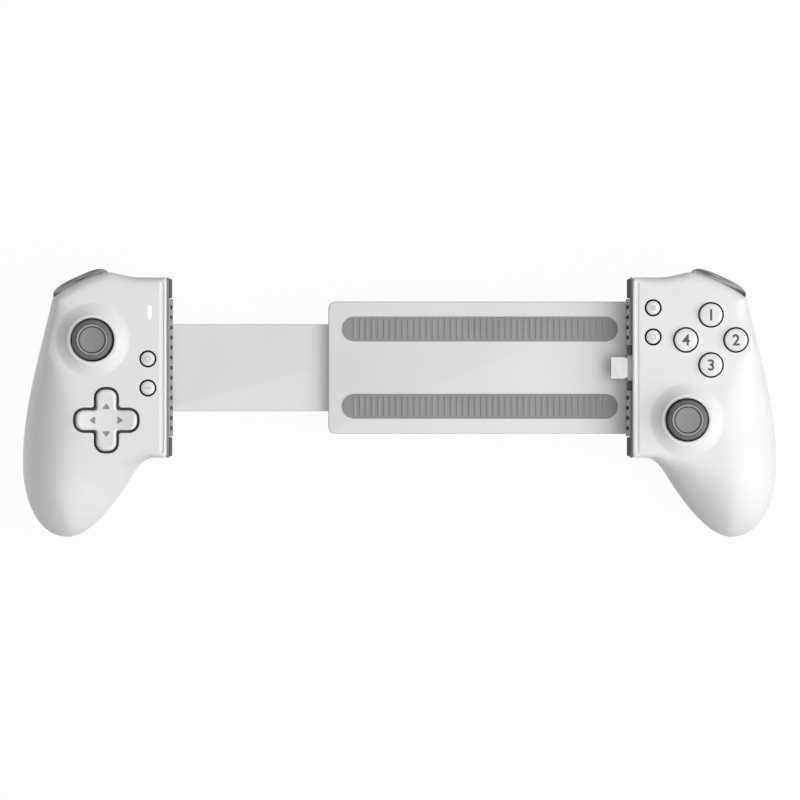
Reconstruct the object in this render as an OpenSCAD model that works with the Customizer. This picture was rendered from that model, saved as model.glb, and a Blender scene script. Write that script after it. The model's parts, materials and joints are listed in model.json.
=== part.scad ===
// Stretchable phone gamepad: two grips joined by a spring-loaded sliding bridge.
// It lies face up, in millimetres: +X right, +Y towards the shoulder buttons, +Z towards the player.
// Each grip is drawn in its own frame, with X counted outwards from its inner wall.

/* [Cradle] */
// Clear width between the two ribbed pads, as photographed
cradle_w = 164; // [158:1:172]
// Clear width with the grips pushed together
cradle_min_w = 110; // [104:1:120]
// Clear width with the grips pulled apart
cradle_max_w = 185; // [178:1:190]

/* [Grip outline] */
// Height of the inner wall's top edge
wall_top_y = 45.2; // [43.5:0.1:46]
// Height of the inner wall's bottom edge
wall_bottom_y = -20; // [-23:0.5:-19.5]
// Distance of the crown, where the top edge meets the bumper, from the inner wall
crown_x = 20.8; // [19:0.1:23]
// Height of the crown
crown_y = 47.2; // [46.5:0.1:49]
// Distance of the bumper's outer end from the inner wall
shoulder_x = 41.4; // [40:0.1:43]
// Height of the bumper's outer end
shoulder_y = 37.8; // [36:0.1:39]
// Widest reach of the grip from the inner wall
widest_x = 52.5; // [50:0.5:56]
// Height at which the grip is widest
widest_y = -22; // [-26:0.5:-18]
// Distance of the handle's tip from the inner wall
tip_x = 36.3; // [34:0.1:39]
// Height of the handle's tip
tip_y = -48.8; // [-54:0.1:-46]
// Distance of the handle's waist from the inner wall
waist_x = 12.8; // [11:0.1:15]
// Height of the handle's waist
waist_y = -26.6; // [-29:0.1:-25]
// Length of the flat chin under the inner wall
chin_x = 4.5; // [3:0.1:6]

/* [Grip depth] */
// Height of the front face above the table
face_z = 36; // [35:0.1:38]
// Height of the parting plane at the middle of the grip
part_z = 18; // [17:0.1:18.5]
// Rise of the parting plane per millimetre towards the shoulder
part_tilt = 0.1; // [0.08:0.01:0.11]
// Height of the handle's tip above the table
tip_z = 13; // [12.5:0.1:13.4]
// Where the front face starts to roll down into the handle
face_low_y = -18; // [-20:0.5:-17]
// Where the front face starts to roll down to the shoulder
face_high_y = 41; // [40:0.1:42]
// Front edge height at the crown
crown_front_z = 31.5; // [31:0.1:33]
// Rear edge height at the crown
crown_rear_z = 20; // [18:0.1:20.5]
// Where the handle's belly rests on the table
belly_y = -28; // [-31:0.5:-25]
// Where the back's saddle is, between belly and hump
saddle_y = -5; // [-8:0.5:0]
// Height of the back's saddle
saddle_z = 2.4; // [1:0.1:3.5]
// Where the back's upper hump rests on the table
hump_y = 24; // [20:0.5:27]
// Lowest straight part of the inner wall
wall_low_z = 10; // [9:0.1:10.5]
// Shell wall thickness
shell_t = 2; // [1.6:0.1:2.2]
// Rounding of the front face's outer edge
face_round = 12; // [10:0.5:13]
// Rounding of the front face's inner edge
edge_round = 2.5; // [2.3:0.1:3]
// Rounding of the front face at the bumper's lip
lip_round = 4; // [3:0.1:5]
// Rounding of the back's outer edge
back_outer_round = 20; // [16:1:22]
// Rounding of the back's inner edge
back_inner_round = 26; // [22:1:28]

/* [Thumbsticks] */
// Left stick centre from the inner wall
left_stick_x = 26.65; // [26:0.05:27.5]
// Left stick centre height
left_stick_y = 22.6; // [21.5:0.1:23]
// Right stick centre from the inner wall
right_stick_x = 19.7; // [19:0.1:21]
// Right stick centre height
right_stick_y = -6.3; // [-7:0.1:-5.5]
// Stick hole diameter
stick_hole_d = 15.6; // [15.4:0.1:16.2]
// Stick cap diameter
stick_cap_d = 14.7; // [14:0.1:15.2]
// Height of the rim around the stick hole
stick_rim_h = 1.4; // [0.8:0.1:1.5]
// Wall of the rim around the stick hole
stick_rim_t = 1.4; // [1:0.1:1.8]
// Height of the stick's pivot above the table
stick_pivot_z = 26; // [25.8:0.1:26.2]
// Stick cap's underside above its pivot
stick_cap_lift = 15.5; // [15.2:0.1:16.5]
// Thickness of the stick cap
stick_cap_h = 4.2; // [3.8:0.1:4.8]
// Stick neck diameter
stick_neck_d = 5; // [4.6:0.1:5.2]
// Stick shaft diameter
stick_shaft_d = 3; // [2.8:0.1:3.2]
// Thickness of the dome that closes the stick hole from below
stick_dome_t = 1; // [0.8:0.1:1.2]
// Side of the stick module's housing
stick_housing_w = 16; // [15.8:0.1:16.4]

/* [D-pad] */
// D-pad centre from the inner wall
dpad_x = 21.7; // [21.4:0.1:22.5]
// D-pad centre height
dpad_y = -6.4; // [-7:0.1:-6]
// D-pad span over two opposite arms
dpad_span = 22.1; // [21:0.1:22.6]
// D-pad arm width
dpad_arm_w = 7.2; // [6.6:0.1:7.4]
// Gap around the D-pad
dpad_gap = 0.95; // [0.9:0.05:1.1]
// D-pad height above the front face
dpad_proud = 1.8; // [1.2:0.1:2.2]
// D-pad pivot ball diameter
dpad_ball_d = 4; // [3.6:0.1:4.4]

/* [Buttons] */
// Face button cluster centre from the inner wall
face_x = 28.3; // [27.8:0.1:28.6]
// Face button cluster centre height
face_y = 22.6; // [22:0.1:22.8]
// Distance of each face button from the cluster centre
face_ring_r = 9.05; // [8.95:0.05:9.1]
// Face button diameter
face_button_d = 8.2; // [7.8:0.1:8.3]
// Face button height above the front face
face_button_proud = 2; // [1.6:0.1:2.4]
// Face button travel
face_button_travel = 1.2; // [0.8:0.1:1.3]
// Gap around a face button
face_button_gap = 0.48; // [0.4:0.02:0.5]
// Left small buttons' distance from the inner wall
left_small_x = 6.7; // [6.6:0.1:7.2]
// Height of the left upper small button
left_small_y = 15.75; // [15:0.05:16.5]
// Right small buttons' distance from the inner wall
right_small_x = 7.4; // [7.2:0.1:7.6]
// Height of the right upper small button
right_small_y = 34.2; // [33.8:0.1:34.4]
// Spacing of the small buttons
small_pitch = 10.5; // [10:0.1:10.8]
// Small button diameter
small_button_d = 5; // [4.6:0.1:5.2]
// Small button height above the front face
small_button_proud = 0.9; // [0.7:0.1:1.2]
// Small button travel
small_button_travel = 0.5; // [0.3:0.1:0.6]
// Gap around a small button
small_button_gap = 0.55; // [0.45:0.05:0.6]
// Thickness of a button's flange
flange_t = 1; // [0.8:0.1:1.1]
// Overlap of a button's flange behind its collar
flange_overlap = 0.6; // [0.5:0.05:0.65]
// Wall of the collar that guides a button
collar_t = 1.1; // [0.8:0.1:1.2]
// Status light's distance from the inner wall
light_x = 6.1; // [5.6:0.1:6.6]
// Status light's height
light_y = 32.6; // [31.5:0.1:33]
// Status light's length
light_l = 5.5; // [5:0.1:6]
// Status light's width
light_w = 1.6; // [1.4:0.1:1.8]

/* [Shoulder buttons] */
// Bumper's reach beyond the line from crown to shoulder
bumper_reach = 3.4; // [3:0.1:3.6]
// Bumper's depth behind that line
bumper_depth = 2.9; // [2.7:0.1:3]
// Bumper's lower edge height
bumper_low_z = 20.5; // [20.4:0.1:20.8]
// Bumper's upper edge height
bumper_high_z = 30.7; // [30:0.1:30.8]
// Bumper pin diameter
bumper_pin_d = 1.6; // [1.5:0.1:1.7]
// Half width of the trigger
trigger_half_w = 8.2; // [7.8:0.1:8.3]
// Height of the trigger's pin
trigger_pin_z = 16.8; // [16.6:0.1:17]
// Depth of the trigger's pin behind the line from crown to shoulder
trigger_pin_depth = 4; // [3.8:0.1:4.2]
// Trigger pin diameter
trigger_pin_d = 2; // [1.8:0.1:2.1]
// Height of the trigger's tip above the table
trigger_tip_z = 3.3; // [2.8:0.1:4]
// Gap around a shoulder button
shoulder_gap = 0.4; // [0.35:0.05:0.45]

/* [Ribbed pads] */
// Pad carrier thickness
carrier_t = 0.8; // [0.6:0.1:1]
// Rubber pad base thickness
pad_base_t = 0.4; // [0.3:0.1:0.6]
// Rubber tooth height
tooth_h = 1; // [0.8:0.1:1.2]
// Distance between two notches in the rubber pad
tooth_pitch = 3.64; // [3.5:0.02:3.8]
// Width of a notch in the rubber pad
notch_w = 1.25; // [1:0.05:1.5]
// Number of teeth
tooth_count = 14; // [12:1:14]
// Lower edge of the pads
pad_low_z = 24; // [23.9:0.1:24.4]
// Height of the pads
pad_h = 9; // [8.4:0.1:9.2]

/* [USB plug] */
// Height of the plug along the wall
plug_y = 12.5; // [12.2:0.1:12.7]
// Height of the plug above the table
plug_z = 28; // [27.9:0.1:28.1]
// Plug shell width
plug_w = 8.3; // [8:0.05:8.4]
// Plug shell thickness
plug_t = 2.5; // [2.4:0.05:2.6]
// Reach of the plug out of the wall
plug_reach = 7.6; // [7:0.1:8.5]
// Length of the window around the plug
plug_window_l = 16.3; // [15.8:0.1:16.6]
// Height of the window around the plug
plug_window_h = 8; // [7.8:0.1:8]

/* [Bridge] */
// Bridge width
bridge_w = 48; // [47:0.5:52]
// Lower face of the bridge
bridge_low_z = 11; // [10.6:0.1:11.4]
// Upper face of the bridge, behind the phone
bridge_high_z = 23; // [22.9:0.1:23.2]
// Bridge side wall thickness
bridge_wall_t = 1.6; // [1.4:0.1:1.8]
// Bridge floor and cover thickness
bridge_skin_t = 1.4; // [1.2:0.1:1.5]
// Bridge end wall thickness
bridge_end_t = 3; // [2.6:0.1:3.6]
// Gap left between the bridge and the left grip when closed
bridge_end_gap = 4.4; // [3:0.1:6]
// Thickness of the rubber strips under the phone
strip_t = 0.6; // [0.5:0.05:0.7]
// Width of each rubber strip
strip_w = 9; // [7:0.5:10]
// Distance of each rubber strip from the bridge's middle
strip_y = 14; // [12:0.5:16]
// Slide plate thickness
slide_t = 3; // [2.8:0.1:3.2]
// Slide plate's lower face
slide_z = 15; // [14.9:0.1:15.1]
// Room between a guide rod and the slide plate
rod_room = 1.7; // [1.5:0.1:2]
// How far the slide plate and the bridge's tongue reach into a grip
tongue_l = 18; // [17:0.5:18.5]
// Thickness of the cover over the ribbon on the slide plate
slide_cover_t = 0.8; // [0.6:0.1:1]
// Guide rod diameter
rod_d = 3; // [2.8:0.1:3.2]
// Distance of each guide rod from the bridge's side
rod_inset = 5; // [4.8:0.1:5.2]
// Length of the carriage lugs that run on the rods
lug_l = 10; // [8:0.5:12]
// Wire diameter of the closing springs
spring_wire_d = 0.6; // [0.5:0.05:0.7]
// Turns of each closing spring
spring_turns = 18; // [12:1:20]
// Ribbon cable width
ribbon_w = 9; // [7:0.5:11]
// Ribbon cable thickness
ribbon_t = 0.25; // [0.2:0.01:0.3]

/* [Boards and screws] */
// Circuit board thickness
board_t = 1.2; // [1:0.1:1.4]
// Circuit board's lower face
board_z = 20; // [19.9:0.05:20.2]
// Gap between a circuit board and the shell
board_gap = 1.2; // [1:0.1:1.6]
// Lowest reach of the boards
board_low_y = -26; // [-28:0.5:-24]
// Thickness of the silicone keypads
keypad_t = 0.8; // [0.6:0.1:0.9]
// Screw thread diameter
screw_d = 2; // [1.8:0.1:2.1]
// Screw length under its head
screw_l = 10; // [9:0.5:11]
// Screw head diameter
screw_head_d = 3.8; // [3.4:0.1:4]
// Screw head height
screw_head_h = 1.4; // [1.2:0.1:1.6]

/* [Fits] */
// Radial clearance of a pin that turns or slides
run_fit = 0.05; // [0.03:0.01:0.08]
// Gap between parts that slide past each other
slide_gap = 0.3; // [0.25:0.05:0.35]

/* [Hidden] */
$fn = 48;

// Colours
white_shell = "white";
grey_cap = "dimgray";
dark_frame = "darkslategray";
rubber_grey = "gray";
steel = "silver";
board_green = "darkgreen";

// Cradle and slide
pad_t = carrier_t + pad_base_t + tooth_h;
wall_x = cradle_w / 2 + pad_t;
close_travel = cradle_w - cradle_min_w;
open_travel = cradle_max_w - cradle_w;
bridge_half = bridge_w / 2;
rod_y = bridge_half - rod_inset;
slide_half_w = rod_y - rod_d / 2 - rod_room;
cradle_y = (wall_top_y + wall_bottom_y) / 2;
wall_h = wall_top_y - wall_bottom_y;

// Bezier curves, and tables of them that are read by height
edge_step = 0.05;
function bez(p, t) = p[0] * pow(1 - t, 3) + 3 * p[1] * t * pow(1 - t, 2)
    + 3 * p[2] * t * t * (1 - t) + p[3] * pow(t, 3);
function curve(p, n = 12) = [for (i = [0:n]) bez(p, i / n)];
function by_y(path) = [for (p = path) [p.y, p.x]];
function mix(a, b, t) = a + (b - a) * t;
function reversed(list) = [for (i = [len(list) - 1:-1:0]) list[i]];
function clamp01(t) = min(1, max(0, t));
function ease(t) = let (c = clamp01(t)) c * c * (3 - 2 * c);

// Outline of a grip, seen from the front
side_lean = 20;
side_slope = 0.235;
waist_run = [0.53, -0.85];
tip_pull = 13;
chin_pull = 4.5;
tip_outer = curve([[widest_x, widest_y], [widest_x, mix(widest_y, tip_y, 0.52)],
    [mix(tip_x, widest_x, 0.66), tip_y], [tip_x, tip_y]]);
side = curve([[widest_x, widest_y], [widest_x, widest_y + side_lean],
    [shoulder_x + side_slope * side_lean, shoulder_y - side_lean], [shoulder_x, shoulder_y]]);
lip = curve([[shoulder_x, shoulder_y], [mix(shoulder_x, crown_x, 0.29), mix(shoulder_y, crown_y, 0.45)],
    [mix(shoulder_x, crown_x, 0.65), mix(shoulder_y, crown_y, 0.85)], [crown_x, crown_y]]);
tip_inner = curve([[tip_x, tip_y], [mix(tip_x, waist_x, 0.33), tip_y],
    [waist_x, waist_y] + tip_pull * waist_run, [waist_x, waist_y]]);
chin_fillet = curve([[waist_x, waist_y], [waist_x, waist_y] - chin_pull * waist_run,
    [mix(chin_x, waist_x, 0.48), wall_bottom_y - edge_step], [chin_x, wall_bottom_y - edge_step]]);
top_rise = curve([[0.43 * crown_x, wall_top_y + edge_step], [0.65 * crown_x, wall_top_y + edge_step],
    [0.82 * crown_x, mix(wall_top_y, crown_y, 0.7)], [crown_x, crown_y]]);
outer_table = concat(by_y(tip_outer), by_y(side), by_y(lip));
inner_table = concat(by_y(tip_inner), by_y(chin_fillet), [[wall_bottom_y, 0], [wall_top_y, 0]],
    by_y(top_rise));

// Depth of a grip, seen from the side
front_table = concat(
    curve([[tip_y, tip_z], [tip_y, mix(tip_z, face_z, 0.48)],
        [mix(tip_y, face_low_y, 0.45), face_z], [face_low_y, face_z]]),
    curve([[face_high_y, face_z], [mix(face_high_y, crown_y, 0.65), face_z],
        [mix(face_high_y, crown_y, 0.97), mix(crown_front_z, face_z, 0.78)], [crown_y, crown_front_z]]));
rear_table = concat(
    curve([[tip_y, tip_z], [tip_y, 0.38 * tip_z], [mix(tip_y, belly_y, 0.42), 0], [belly_y, 0]]),
    curve([[belly_y, 0], [mix(belly_y, saddle_y, 0.43), 0],
        [mix(belly_y, saddle_y, 0.6), saddle_z], [saddle_y, saddle_z]]),
    curve([[saddle_y, saddle_z], [mix(saddle_y, hump_y, 0.38), saddle_z],
        [mix(saddle_y, hump_y, 0.65), 0], [hump_y, 0]]),
    curve([[hump_y, 0], [mix(hump_y, crown_y, 0.43), 0],
        [mix(hump_y, crown_y, 0.82), 0.3 * crown_rear_z], [crown_y, crown_rear_z]]));

function part_plane(y) = part_z + part_tilt * y;
function outer_x(y, inset) = min(lookup(y - inset, outer_table), lookup(y, outer_table),
    lookup(y + inset, outer_table)) - inset;
function inner_x(y, inset) = max(lookup(y - inset, inner_table), lookup(y, inner_table),
    lookup(y + inset, inner_table)) + inset;
function front_z(y, inset) = min(lookup(y - inset, front_table), lookup(y + inset, front_table)) - inset;
function rear_z(y, inset) = max(lookup(y - inset, rear_table), lookup(y + inset, rear_table)) + inset;

// Half of one cross-section of a grip: side 1 is in front of the parting plane, -1 behind it
front_power = 2.5;
back_power = 2.3;
handle_power = 2.2;
handle_low_y = waist_y - 8;
shoulder_blend = 8;
flat_share = 0.04;
wall_share = 0.9;
least_round = 0.6;
function handle_share(y) = ease((wall_bottom_y - y) / (wall_bottom_y - handle_low_y));
function shoulder_share(y) = ease((y - shoulder_y) / shoulder_blend + 0.5);
function quarter(n, power) = [for (i = [0:n])
    [pow(cos(90 * i / n), 2 / power), pow(sin(90 * i / n), 2 / power)]];
function half_ring(y, side, inset, n, over) = let (
    x0 = inner_x(y, inset),
    x1 = outer_x(y, inset),
    zp = part_plane(y),
    edge = side > 0 ? front_z(y, inset) : rear_z(y, inset),
    depth = abs(edge - zp),
    half_w = (x1 - x0) / 2,
    hand = handle_share(y),
    power = mix(side > 0 ? front_power : back_power, handle_power, hand),
    body_outer = side > 0 ? mix(face_round, lip_round, shoulder_share(y)) : back_outer_round,
    body_inner = side > 0 ? edge_round : back_inner_round,
    wall_run = side > 0 ? edge_round : wall_low_z - rear_z(y, 0),
    want_outer = mix(max(body_outer - inset, least_round), half_w, hand),
    want_inner = mix(max(body_inner - inset, least_round), half_w, hand),
    fit = min(1, (1 - flat_share) * 2 * half_w / (want_outer + want_inner)),
    ro = want_outer * fit,
    ri = want_inner * fit,
    body_rz = min(wall_share * depth, max(wall_run - inset, side > 0 ? 0 : 0.3 * depth, least_round)),
    rz = mix(body_rz, wall_share * depth, hand),
    bend = quarter(n, power))
    [for (p = concat(
        over > 0 ? [[x1, zp - side * over]] : [],
        [for (q = bend) [x1 - ro + ro * q.x, zp + side * depth * q.y]],
        [for (i = [n:-1:0]) [x0 + ri - ri * bend[i].x, edge - side * rz * (1 - bend[i].y)]],
        [[x0, zp - side * over]])) [p.x, y, p.y]];

// Solid through a list of rings that all have as many points
module loft(rings, flip) {
    m = len(rings[0]);
    last = len(rings) - 1;
    sides = [for (i = [0:last - 1], j = [0:m - 1]) let (k = (j + 1) % m)
        each [[i * m + j, i * m + k, (i + 1) * m + k], [i * m + j, (i + 1) * m + k, (i + 1) * m + j]]];
    caps = [[for (j = [m - 1:-1:0]) j], [for (j = [0:m - 1]) last * m + j]];
    faces = concat(sides, caps);
    polyhedron([for (r = rings) each r], flip ? [for (f = faces) reversed(f)] : faces);
}

// Heights at which a grip's sections are taken
tip_cut = 0.15;
body_top_y = face_high_y - 6;
handle_steps = 15;
body_steps = 9;
top_steps = 7;
crown_steps = 4;
handle_ys = [for (i = [0:handle_steps])
    mix(tip_y + tip_cut, wall_bottom_y - edge_step, 1 - cos(90 * i / handle_steps))];
body_ys = [for (i = [0:body_steps]) mix(wall_bottom_y, body_top_y, i / body_steps)];
top_ys = [for (i = [1:top_steps]) mix(body_top_y, wall_top_y, i / top_steps)];
crown_ys = [for (i = [0:crown_steps]) mix(wall_top_y + edge_step, crown_y - tip_cut, i / crown_steps)];
skin_ys = concat(handle_ys, body_ys, top_ys, crown_ys);
cavity_steps = 20;
cavity_ys = [for (i = [0:cavity_steps])
    mix(tip_y + 2 * shell_t, wall_top_y - shell_t - edge_step, i / cavity_steps)];
arc_steps = 8;
cavity_arc_steps = 5;
cut_over = 1;
module skin(side) loft([for (y = skin_ys) half_ring(y, side, 0, arc_steps, 0)], side < 0);
module cavity(side)
    loft([for (y = cavity_ys) half_ring(y, side, shell_t, cavity_arc_steps, cut_over)], side < 0);

// Frames: the two grips, the shoulder line from crown to shoulder, and a stick
module right_half() translate([wall_x, 0, 0]) children();
module left_half() translate([-wall_x, 0, 0]) mirror([1, 0, 0]) children();
shoulder_mid = [(crown_x + shoulder_x) / 2, (crown_y + shoulder_y) / 2];
shoulder_run = [shoulder_x - crown_x, shoulder_y - crown_y];
shoulder_angle = atan2(shoulder_run.y, shoulder_run.x);
shoulder_l = norm(shoulder_run);
module at_shoulder() translate(shoulder_mid) rotate(shoulder_angle) children();
function span(half, mid = 0) = [mid - half, mid + half];
module slab(x, y, z) translate([x[0], y[0], z[0]]) cube([x[1] - x[0], y[1] - y[0], z[1] - z[0]]);
far = 60;

// Controls, as [distance from the inner wall, height]
left_stick = [left_stick_x, left_stick_y];
right_stick = [right_stick_x, right_stick_y];
dpad_at = [dpad_x, dpad_y];
face_at = [for (a = [90, 0, -90, 180]) [face_x, face_y] + face_ring_r * [cos(a), sin(a)]];
left_small = [for (i = [0, 1]) [left_small_x, left_small_y - i * small_pitch]];
right_small = [for (i = [0, 1]) [right_small_x, right_small_y - i * small_pitch]];
board_top = board_z + board_t;
touch_gap = 0.1;
dome_room = 1;
foot_h = 1.1;
function dome_top(travel) = board_top + keypad_t + travel + dome_room;
function foot_z(travel) = dome_top(travel) + touch_gap;
flange_low = foot_z(max(face_button_travel, small_button_travel)) + foot_h;
collar_z = flange_low + flange_t + run_fit;
flange_gap = 0.4;
face_hole_r = face_button_d / 2 + face_button_gap;
small_hole_r = small_button_d / 2 + small_button_gap;

// Screws, as [distance from the inner wall, height, lower and upper face of what they clamp]
slide_top = slide_z + slide_t;
thread_l = 4;
handle_screw = [30, -36];
board_screws = [[6.5, wall_bottom_y + 4.5], [12, wall_top_y - 5.2], [43.5, 2]];
anchor_y = 11;
anchor_screws = [for (s = [-1, 1]) [10, cradle_y + anchor_y * s]];
handle_clamp_z = part_plane(handle_screw.y) + 0.6;
clamp_screws = concat([for (p = board_screws) [p.x, p.y, board_z, board_top]],
    [[handle_screw.x, handle_screw.y, handle_clamp_z, handle_clamp_z]]);
all_screws = concat([for (c = clamp_screws) [c.x, c.y, c[2], c[3] + thread_l]],
    [for (p = anchor_screws) [p.x, p.y, slide_z, slide_top]]);
boss_t = 1.5;
recess_gap = 0.2;
front_boss_r = screw_d / 2 + boss_t;
recess_r = screw_head_d / 2 + recess_gap;
rear_boss_r = recess_r + boss_t - 0.4;

// Pockets of the shoulder buttons, in the shoulder's frame
bumper_half = shoulder_l / 2 - shoulder_gap;
pocket_y = -bumper_depth - 1.4;
pocket_roof_z = bumper_high_z + slide_gap;
pocket_floor_z = bumper_low_z - slide_gap;
ear_top_z = min(pocket_floor_z, board_z) - 0.2;
ear_x = trigger_half_w + shoulder_gap;
ear_end_x = shoulder_l / 2 + 2.5;
trigger_back_y = -9;
bumper_pin_at = [-bumper_half + 1.4, -0.2];
bumper_pin_sink = 2;
trigger_pin_half = shoulder_l / 2;
module shoulder_pockets() at_shoulder() {
    slab([-shoulder_l / 2 - shoulder_gap, shoulder_l / 2 + shoulder_gap], [pocket_y, far],
        [pocket_floor_z - 0.5, pocket_roof_z]);
    slab([-ear_x, ear_x], [trigger_back_y, far], [-far, pocket_floor_z]);
}
module bumper_axle() at_shoulder()
    translate([bumper_pin_at.x, bumper_pin_at.y, bumper_low_z - bumper_pin_sink])
    cylinder(d = bumper_pin_d, h = bumper_high_z - bumper_low_z + 2 * bumper_pin_sink);
module trigger_axle(d, half) at_shoulder() translate([-half, -trigger_pin_depth, trigger_pin_z])
    rotate([0, 90, 0]) cylinder(d = d, h = 2 * half);

// Slot in each inner wall for the slide plate or the bridge's tongue, and the ribbon above it
slot_top_z = slide_top + slide_cover_t + slide_gap;
module wall_slot() slab([-1, shell_t + 2], span(slide_half_w + slide_gap, cradle_y),
    [slide_z - slide_gap, slot_top_z]);
module plug_window(x) slab(x, span(plug_window_l / 2, plug_y), span(plug_window_h / 2, plug_z));

// Shells
module button_collar(p, hole_r) translate([p.x, p.y, collar_z]) cylinder(r = hole_r + collar_t, h = far);
module button_hole(p, hole_r) translate([p.x, p.y, 0]) {
    cylinder(r = hole_r, h = far);
    cylinder(r = hole_r + flange_overlap + flange_gap, h = collar_z);
}
module stick_rim(p) translate([p.x, p.y, face_z - shell_t])
    cylinder(d = stick_hole_d + 2 * stick_rim_t, h = shell_t + stick_rim_h);
module front_posts(round_buttons) {
    for (c = clamp_screws) translate([c.x, c.y, c[3]]) cylinder(r = front_boss_r, h = far);
    for (b = round_buttons) button_collar(b[0], b[1]);
    at_shoulder() slab([-ear_end_x, ear_end_x], [pocket_y - 1, far], [pocket_roof_z - 0.5, far]);
}
module front_shell(stick, round_buttons) difference() {
    union() {
        difference() {
            skin(1);
            difference() {
                cavity(1);
                front_posts(round_buttons);
            }
        }
        stick_rim(stick);
    }
    for (b = round_buttons) button_hole(b[0], b[1]);
    translate([stick.x, stick.y, board_top]) cylinder(d = stick_hole_d, h = far);
    for (c = clamp_screws) translate([c.x, c.y, c[3] - 1])
        cylinder(d = screw_d + 2 * run_fit, h = thread_l + 1.5);
    shoulder_pockets();
    bumper_axle();
    wall_slot();
}
module rear_posts() {
    for (c = clamp_screws) translate([c.x, c.y, -far]) cylinder(r = rear_boss_r, h = far + c[2]);
    for (p = anchor_screws) translate([p.x, p.y, -far]) cylinder(r = rear_boss_r, h = far + slide_z);
    at_shoulder() for (s = [0, 1]) mirror([s, 0, 0])
        slab([ear_x, ear_end_x], [trigger_back_y, far], [-far, ear_top_z]);
}
module rear_shell() difference() {
    skin(-1);
    difference() {
        cavity(-1);
        rear_posts();
    }
    for (s = all_screws) translate([s.x, s.y, 0]) {
        translate([0, 0, -far]) cylinder(r = recess_r, h = far + s[3] - screw_l);
        cylinder(d = screw_d + 2 * run_fit, h = far / 2);
    }
    shoulder_pockets();
    bumper_axle();
    trigger_axle(trigger_pin_d, trigger_pin_half);
    wall_slot();
}
left_rounds = [for (p = left_small) [p, small_hole_r]];
right_rounds = concat([for (p = face_at) [p, face_hole_r]], [for (p = right_small) [p, small_hole_r]]);
module left_front_shell() color(white_shell) left_half() difference() {
    front_shell(left_stick, left_rounds);
    translate([dpad_x, dpad_y, board_top]) linear_extrude(far)
        cross_plan(dpad_span + 2 * dpad_gap, dpad_arm_w + 2 * dpad_gap);
    translate([light_x, light_y, board_top]) linear_extrude(far) rotate(90) stadium(light_l, light_w);
}
module right_front_shell() color(white_shell) right_half() difference() {
    front_shell(right_stick, right_rounds);
    plug_window([-1, shell_t + 1]);
}
module left_rear_shell() color(white_shell) left_half() rear_shell();
module right_rear_shell() color(white_shell) right_half() rear_shell();

// Flat shapes with round ends
module stadium(l, w) {
    square([l - w, w], center = true);
    for (s = [-1, 1]) translate([s * (l - w) / 2, 0]) circle(d = w);
}
module cross_plan(span, arm) {
    stadium(span, arm);
    rotate(90) stadium(span, arm);
}

// Screws: driven in from the back
module screw_set() for (s = all_screws) translate([s.x, s.y, s[3] - screw_l]) {
    cylinder(d = screw_d, h = screw_l);
    translate([0, 0, -screw_head_h]) difference() {
        cylinder(d = screw_head_d, h = screw_head_h);
        translate([0, 0, -1]) cylinder(d = screw_d * 0.7, h = 1 + screw_head_h / 2, $fn = 6);
    }
}
module left_screws() color(steel) left_half() screw_set();
module right_screws() color(steel) right_half() screw_set();

// Circuit boards, with the connector for the ribbon underneath
connector_l = 4;
ribbon_z = slide_top + 0.35;
ribbon_end_x = 14;
board_ys = [for (i = [0:12]) mix(board_low_y, wall_top_y - shell_t - board_gap, i / 12)];
module board_plan() polygon(concat(
    [for (y = board_ys) [inner_x(y, shell_t) + board_gap, y]],
    [for (i = [len(board_ys) - 1:-1:0]) [outer_x(board_ys[i], shell_t) - board_gap, board_ys[i]]]));
module circuit_board() {
    difference() {
        translate([0, 0, board_z]) linear_extrude(board_t) board_plan();
        at_shoulder() slab([-far, far], [pocket_y - 1, far], [0, far]);
        for (p = board_screws) translate([p.x, p.y, 0]) cylinder(d = screw_d + 2 * run_fit, h = far);
    }
    slab([ribbon_end_x, ribbon_end_x + connector_l], span(ribbon_w / 2 + 1, cradle_y),
        [slide_top + 0.1, board_z + 0.1]);
}
module left_circuit_board() color(board_green) left_half() circuit_board();
module right_circuit_board() color(board_green) right_half() circuit_board();

// Silicone keypads: a thin sheet on the board with a dome under each button
dome_low_r = 2.6;
dome_high_r = 1.7;
module key_dome(p, travel) translate([p.x, p.y, board_top])
    cylinder(r1 = dome_low_r, r2 = dome_high_r, h = dome_top(travel) - board_top);
module key_sheet() translate([0, 0, board_top]) linear_extrude(keypad_t) children();
dpad_key_r = 8.3;
key_pad_r = 3.8;
dpad_keys = [for (a = [0:90:270]) dpad_at + dpad_key_r * [cos(a), sin(a)]];
module left_keypad() color("lightgray") left_half() {
    difference() {
        key_sheet() {
            translate(dpad_at) circle(r = dpad_key_r + key_pad_r);
            for (p = left_small) translate(p) circle(r = key_pad_r);
            translate([left_small_x - key_pad_r, dpad_y]) square([2 * key_pad_r, left_small[0].y - dpad_y]);
        }
        translate([dpad_x, dpad_y, 0]) cylinder(d = dpad_post_d + 1, h = far);
    }
    for (p = dpad_keys) key_dome(p, face_button_travel);
    for (p = left_small) key_dome(p, small_button_travel);
}
module right_keypad() color("lightgray") right_half() {
    key_sheet() {
        for (p = concat(face_at, right_small)) translate(p) circle(r = key_pad_r);
        translate([face_x, face_y]) for (a = [0, 90]) rotate(a)
            square([2 * face_ring_r, key_pad_r], center = true);
        translate([right_small_x - key_pad_r / 2, right_small[1].y]) square([key_pad_r, small_pitch]);
        translate([right_small_x, face_y - key_pad_r / 2]) square([face_x - right_small_x, key_pad_r]);
    }
    for (p = face_at) key_dome(p, face_button_travel);
    for (p = right_small) key_dome(p, small_button_travel);
}

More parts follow.
